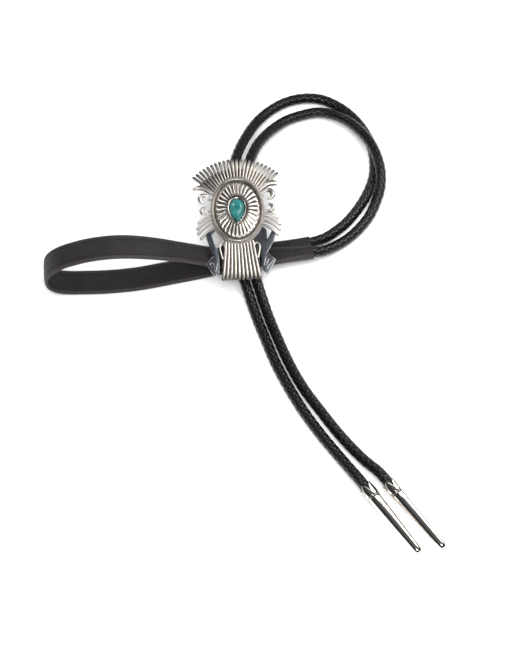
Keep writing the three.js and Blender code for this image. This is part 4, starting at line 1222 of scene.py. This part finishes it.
class StudioSettings(bpy.types.PropertyGroup):
    """The floor and the lights."""

    floor_colour: bpy.props.FloatVectorProperty(
        name="Floor Colour", description="Colour of the background paper",
        subtype="COLOR", size=4, min=0, max=1, default=linear("#F2F2F2"))
    key_power: bpy.props.FloatProperty(
        name="Key Power", description="Power of the large softbox on the right, in watts",
        default=2.8, min=0)
    rim_power: bpy.props.FloatProperty(
        name="Rim Power", description="Power of the small softbox on the left, in watts",
        default=2.3, min=0)
    strip_power: bpy.props.FloatProperty(
        name="Strip Power", description="Power of the long narrow softbox, in watts",
        default=0.45, min=0)
    front_power: bpy.props.FloatProperty(
        name="Front Power", description="Power of the small softbox in front, in watts",
        default=4.2, min=0)
    fill_power: bpy.props.FloatProperty(
        name="Fill Power", description="Power of the panel overhead, in watts",
        default=26.0, min=0)


# ---- Operators ------------------------------------------------------------------------------

class MakeStudio(bpy.types.Operator):
    """Make the camera, the floor and the lights"""

    bl_idname = "bolo_tie.make_studio"
    bl_label = "Make Studio"

    def execute(self, context):
        settings = context.scene.bolo_tie_studio
        scene = context.scene
        lens = bpy.data.cameras.new("camera")
        lens.lens = CAMERA_LENS
        lens.sensor_width = 36
        lens.clip_end = 20
        camera = bpy.data.objects.new("camera", lens)
        scene.collection.objects.link(camera)
        elevation = math.radians(CAMERA_ELEVATION)
        reach = Vector((0, -math.cos(elevation), math.sin(elevation)))
        camera.location = CAMERA_TARGET + reach * CAMERA_DISTANCE
        camera.rotation_euler = (math.pi / 2 - elevation, 0, 0)
        scene.camera = camera
        floor = bpy.data.objects.new("floor", new_mesh(
            "floor", [(-4, -4, 0), (4, -4, 0), (4, 4, 0), (-4, 4, 0)], [(0, 1, 2, 3)]))
        floor.data.materials.append(floor_paper(settings))
        scene.collection.objects.link(floor)
        # Name, middle of what it lights, way to it, distance, size, power, seen in gloss.
        ornament, tips = Vector((0.03, 0.0, 0.0)), Vector((0.12, -0.17, 0.0))
        softboxes = [
            ("key_softbox", ornament, (0.56, 0.44, 0.70), 1.25, (0.42, 0.42),
             settings.key_power, True),
            ("rim_softbox", ornament, (-0.44, 0.52, 0.73), 1.25, (0.3, 0.36),
             settings.rim_power, True),
            ("strip_softbox", tips, (0.24, 0.55, 0.78), 0.35, (0.40, 0.12),
             settings.strip_power, True),
            ("front_softbox", ornament, (0.02, -0.48, 0.88), 1.3, (0.35, 0.35),
             settings.front_power, True),
            ("sky_panel", ornament, (-0.05, -0.25, 1.0), 1.25, (1.6, 1.6),
             settings.fill_power, False),
        ]
        for name, target, way, distance, size, power, glossy in softboxes:
            light = bpy.data.lights.new(name, "AREA")
            light.shape = "RECTANGLE"
            light.size, light.size_y = size
            light.energy = power
            lamp = bpy.data.objects.new(name, light)
            back = Vector(way).normalized()
            lamp.location = target + back * distance
            # The long side of each softbox runs level, across the tips for the strip.
            level = Vector((0.8, 0.6, 0.0)) if target is tips else Vector((1.0, 0.0, 0.0))
            upwards = back.cross(level).normalized()
            turned = Matrix((upwards.cross(back), upwards, back)).transposed()
            lamp.rotation_euler = turned.to_euler()
            lamp.visible_camera = False
            lamp.visible_glossy = glossy
            scene.collection.objects.link(lamp)
        # A room that is pale near the floor and dark overhead, which metal mirrors.
        world = bpy.data.worlds.new("studio_room")
        world.use_nodes = True
        room = world.node_tree
        way = add(room, "ShaderNodeTexCoord")
        parts = add(room, "ShaderNodeSeparateXYZ", {0: way.outputs["Generated"]})
        wall = add(room, "ShaderNodeValToRGB", {"Fac": parts.outputs["Z"]})
        wall.color_ramp.elements[0].position = 0.0
        wall.color_ramp.elements[0].color = linear("#8A8D90")
        wall.color_ramp.elements[1].position = 0.2
        wall.color_ramp.elements[1].color = linear("#33363A")
        wall.color_ramp.elements.new(0.8).color = linear("#383B40")
        wall.color_ramp.elements.new(1.0).color = linear("#5C5F64")
        room.links.new(wall.outputs[0], room.nodes["Background"].inputs["Color"])
        room.nodes["Background"].inputs["Strength"].default_value = 1.0
        scene.world = world
        scene.view_settings.view_transform = "Standard"
        return {"FINISHED"}


class MakeTips(bpy.types.Operator):
    """Make the two silver tips"""

    bl_idname = "bolo_tie.make_tips"
    bl_label = "Make Tips"

    def execute(self, context):
        tips = (("left", LEFT_TIP), ("right", RIGHT_TIP))
        for side, (mouth, end) in tips:
            mesh = tip_mesh(mouth, end, math.radians(TIP_TURN))
            piece = finish_piece(f"silver_tip_{side}", mesh, buffed_silver(), 50)
            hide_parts(f"tip_{side}")
        return {"FINISHED"}


class MakeCords(bpy.types.Operator):
    """Make the two braided leather cords"""

    bl_idname = "bolo_tie.make_cords"
    bl_label = "Make Cords"

    def execute(self, context):
        settings = context.scene.bolo_tie_leather
        tree = braid_tree()
        material = lace_leather(settings)
        for side, route in (("left", LEFT_CORD_ROUTE), ("right", RIGHT_CORD_ROUTE)):
            path = cord_path(route)
            mesh = mesh_from_tree(f"braid_{side}", line_mesh("path", [path], {}), tree, {
                "Laces": settings.laces, "Turn Length": settings.lace_turn,
                "Middle Radius": 0.0024, "Rise": 0.00025, "Crown": 110.0,
                "Lace Width": settings.lace_width, "Lace Thickness": settings.lace_thickness,
                "Material": material})
            piece = finish_piece(f"braided_cord_{side}", mesh, material, 70)
            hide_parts(f"cord_{side}")
        return {"FINISHED"}


class MakeStrap(bpy.types.Operator):
    """Make the neck strap with its seams"""

    bl_idname = "bolo_tie.make_strap"
    bl_label = "Make Strap"

    def execute(self, context):
        settings = context.scene.bolo_tie_leather
        piece = finish_piece("stitched_neck_strap", strap_mesh(), strap_leather(settings),
                             50)
        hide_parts("neck_strap")
        thread = sewing_thread()
        mesh = mesh_from_tree("stitches", stitch_lines(), stitch_tree(), {
            "Pitch": settings.stitch_pitch, "Stitch Length": settings.stitch_pitch * 0.74,
            "Thread Radius": 0.00026, "Material": thread})
        finish_piece("strap_stitches", mesh, thread, 70)
        return {"FINISHED"}


class MakeConcho(bpy.types.Operator):
    """Make the fluted concho with its stone and the wall round it"""

    bl_idname = "bolo_tie.make_concho"
    bl_label = "Make Concho and Stone"

    def execute(self, context):
        settings = context.scene.bolo_tie_ornament
        material = oxidised_silver()
        mesh = mesh_from_tree("concho", concho_mesh(), flute_tree(), {
            "Flutes": settings.flutes, "Flute Depth": settings.flute_depth, "Scallop": 0.05,
            "Cuts": 110, "Cut Depth": 0.0002, "Cut Lean": 60.0, "Material": material})
        piece = finish_piece("fluted_concho", mesh, material, 60, ORNAMENT)
        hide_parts("ornament")
        wall = [
            (0.30, 1, 4.3, 0.3), (1.32, 1, 4.3, 0.0), (1.38, 1, 4.9, 0.6), (1.34, 1, 5.8, 1.0),
            (1.22, 1, 6.7, 1.0), (1.02, 1, 7.25, 1.0), (0.72, 1, 7.45, 1.0),
            (0.42, 1, 7.35, 1.0), (0.22, 1, 7.05, 0.9), (0.20, 1, 5.6, 0.2),
            (0.30, 1, 4.3, 0.3)]
        finish_piece("stone_wall", pear_rings(wall, (False, False)), buffed_silver(),
                     50, ORNAMENT)
        dome = [
            (0, 0.90, 5.30, 0), (0, 0.985, 5.45, 0), (0, 1.0, 6.0, 0), (0, 0.995, 6.9, 0),
            (0, 0.97, 7.35, 0), (0, 0.92, 7.75, 0), (0, 0.85, 8.10, 0), (0, 0.76, 8.42, 0),
            (0, 0.65, 8.70, 0), (0, 0.52, 8.93, 0), (0, 0.38, 9.08, 0), (0, 0.22, 9.17, 0),
            (0, 0.08, 9.20, 0)]
        stone = finish_piece("turquoise_cabochon", pear_rings(dome),
                             turquoise(settings), 50, ORNAMENT)
        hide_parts("stone")
        return {"FINISHED"}


class MakeWirework(bpy.types.Operator):
    """Make the crest, the side work and the tail of wires"""

    bl_idname = "bolo_tie.make_wirework"
    bl_label = "Make Crest, Sides and Tail"

    def execute(self, context):
        settings = context.scene.bolo_tie_ornament
        tree = bar_tree()
        material = oxidised_silver()
        groups = (("crest_feathers", crest_lines(), settings.wire_dome),
                  ("side_scrolls", side_lines(), settings.wire_dome * 0.8),
                  ("tail_wires", tail_lines(), settings.wire_dome))
        for name, lines, dome in groups:
            mesh = mesh_from_tree(name, lines, tree, {
                "Section Points": 16, "Dome": dome, "Back": 0.3, "Material": material})
            finish_piece(name, mesh, material, 60, ORNAMENT)
        return {"FINISHED"}


class MakePlates(bpy.types.Operator):
    """Make the backing plates and the two flat legs with their cut spirals"""

    bl_idname = "bolo_tie.make_plates"
    bl_label = "Make Plates and Legs"

    def execute(self, context):
        oval = [(math.cos(t) * 14.4, math.sin(t) * 19.6 + CONCHO_RISE)
                for t in (i / 96 * 2 * math.pi for i in range(96))]
        apron = [(-7.6, -15.0), (-9.6, -18.6), (-10.9, -20.6), (-10.5, -24.4), (-10.2, -35.4),
                 (10.2, -35.4), (10.5, -24.4), (10.9, -20.6), (9.6, -18.6), (7.6, -15.0)]
        backing = [plate_mesh("oval", oval, 0.0, 1.2, top_shine=0.1),
                   plate_mesh("fan", fan_outline(0.8, 27.2, 49), 0.1, 1.0, top_shine=0.05),
                   plate_mesh("apron", apron, 0.1, 1.0, top_shine=0.05)]
        for x, y, radius, _, _, _ in SCROLLS:
            x -= math.copysign(radius, x)
            inner = x - math.copysign(4, x)
            strut = [(x, y - 0.6), (x, y + 0.6), (inner, y + 0.6), (inner, y - 0.6)]
            backing.append(plate_mesh("strut", strut, 0.1, 0.9, top_shine=0.8))
        finish_piece("backing_plates", joined_mesh("backing", backing), oxidised_silver(),
                     30, ORNAMENT)
        legs = [plate_mesh("leg", leg, 0.0, 1.2, top_shine=0.15, side_shine=0.3)
                for leg in (LEFT_LEG, RIGHT_LEG)]
        finish_piece("flat_legs", joined_mesh("legs", legs), slate_silver(),
                     30, ORNAMENT)
        material = buffed_silver()
        mesh = mesh_from_tree("frets", fret_lines(), bar_tree(), {
            "Section Points": 10, "Dome": 0.45, "Back": 0.3, "Material": material})
        finish_piece("leg_frets", mesh, material, 60, ORNAMENT)
        return {"FINISHED"}


class FinishSlide(bpy.types.Operator):
    """Give the cord slide behind the ornament its material"""

    bl_idname = "bolo_tie.finish_slide"
    bl_label = "Finish Slide"

    def execute(self, context):
        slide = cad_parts["cord_slide"]
        metal = silver("cast_nickel_silver", "#C9C2B6", "#8C857C", 0.3, 0.42)
        for slot in slide.material_slots:
            slot.material = metal
        if not slide.material_slots:
            slide.data.materials.append(metal)
        return {"FINISHED"}


class BoloTiePanel(bpy.types.Panel):
    """The pieces of the bolo tie, each with its button"""

    bl_idname = "VIEW3D_PT_bolo_tie"
    bl_label = "Bolo Tie"
    bl_space_type = "VIEW_3D"
    bl_region_type = "UI"
    bl_category = "Bolo Tie"

    def draw(self, context):
        for step in STEPS:
            self.layout.operator(step.bl_idname)


STEPS = (MakeStudio, MakeTips, MakeCords, MakeStrap, MakeConcho, MakeWirework, MakePlates,
         FinishSlide)
SETTINGS = (LeatherSettings, OrnamentSettings, StudioSettings)


def register():
    """Adds the settings, the operators and the panel to Blender."""
    for group in (*SETTINGS, *STEPS, BoloTiePanel):
        bpy.utils.register_class(group)
    scene = bpy.types.Scene
    scene.bolo_tie_leather = bpy.props.PointerProperty(type=LeatherSettings)
    scene.bolo_tie_ornament = bpy.props.PointerProperty(type=OrnamentSettings)
    scene.bolo_tie_studio = bpy.props.PointerProperty(type=StudioSettings)


def unregister():
    """Takes the settings, the operators and the panel out of Blender."""
    scene = bpy.types.Scene
    del scene.bolo_tie_leather, scene.bolo_tie_ornament, scene.bolo_tie_studio
    for group in (BoloTiePanel, *STEPS[::-1], *SETTINGS[::-1]):
        bpy.utils.unregister_class(group)


def main():
    register()
    bpy.ops.bolo_tie.make_studio()
    bpy.ops.bolo_tie.make_tips()
    bpy.ops.bolo_tie.make_cords()
    bpy.ops.bolo_tie.make_strap()
    bpy.ops.bolo_tie.make_concho()
    bpy.ops.bolo_tie.make_wirework()
    bpy.ops.bolo_tie.make_plates()
    bpy.ops.bolo_tie.finish_slide()


if __name__ == "__main__":
    main()
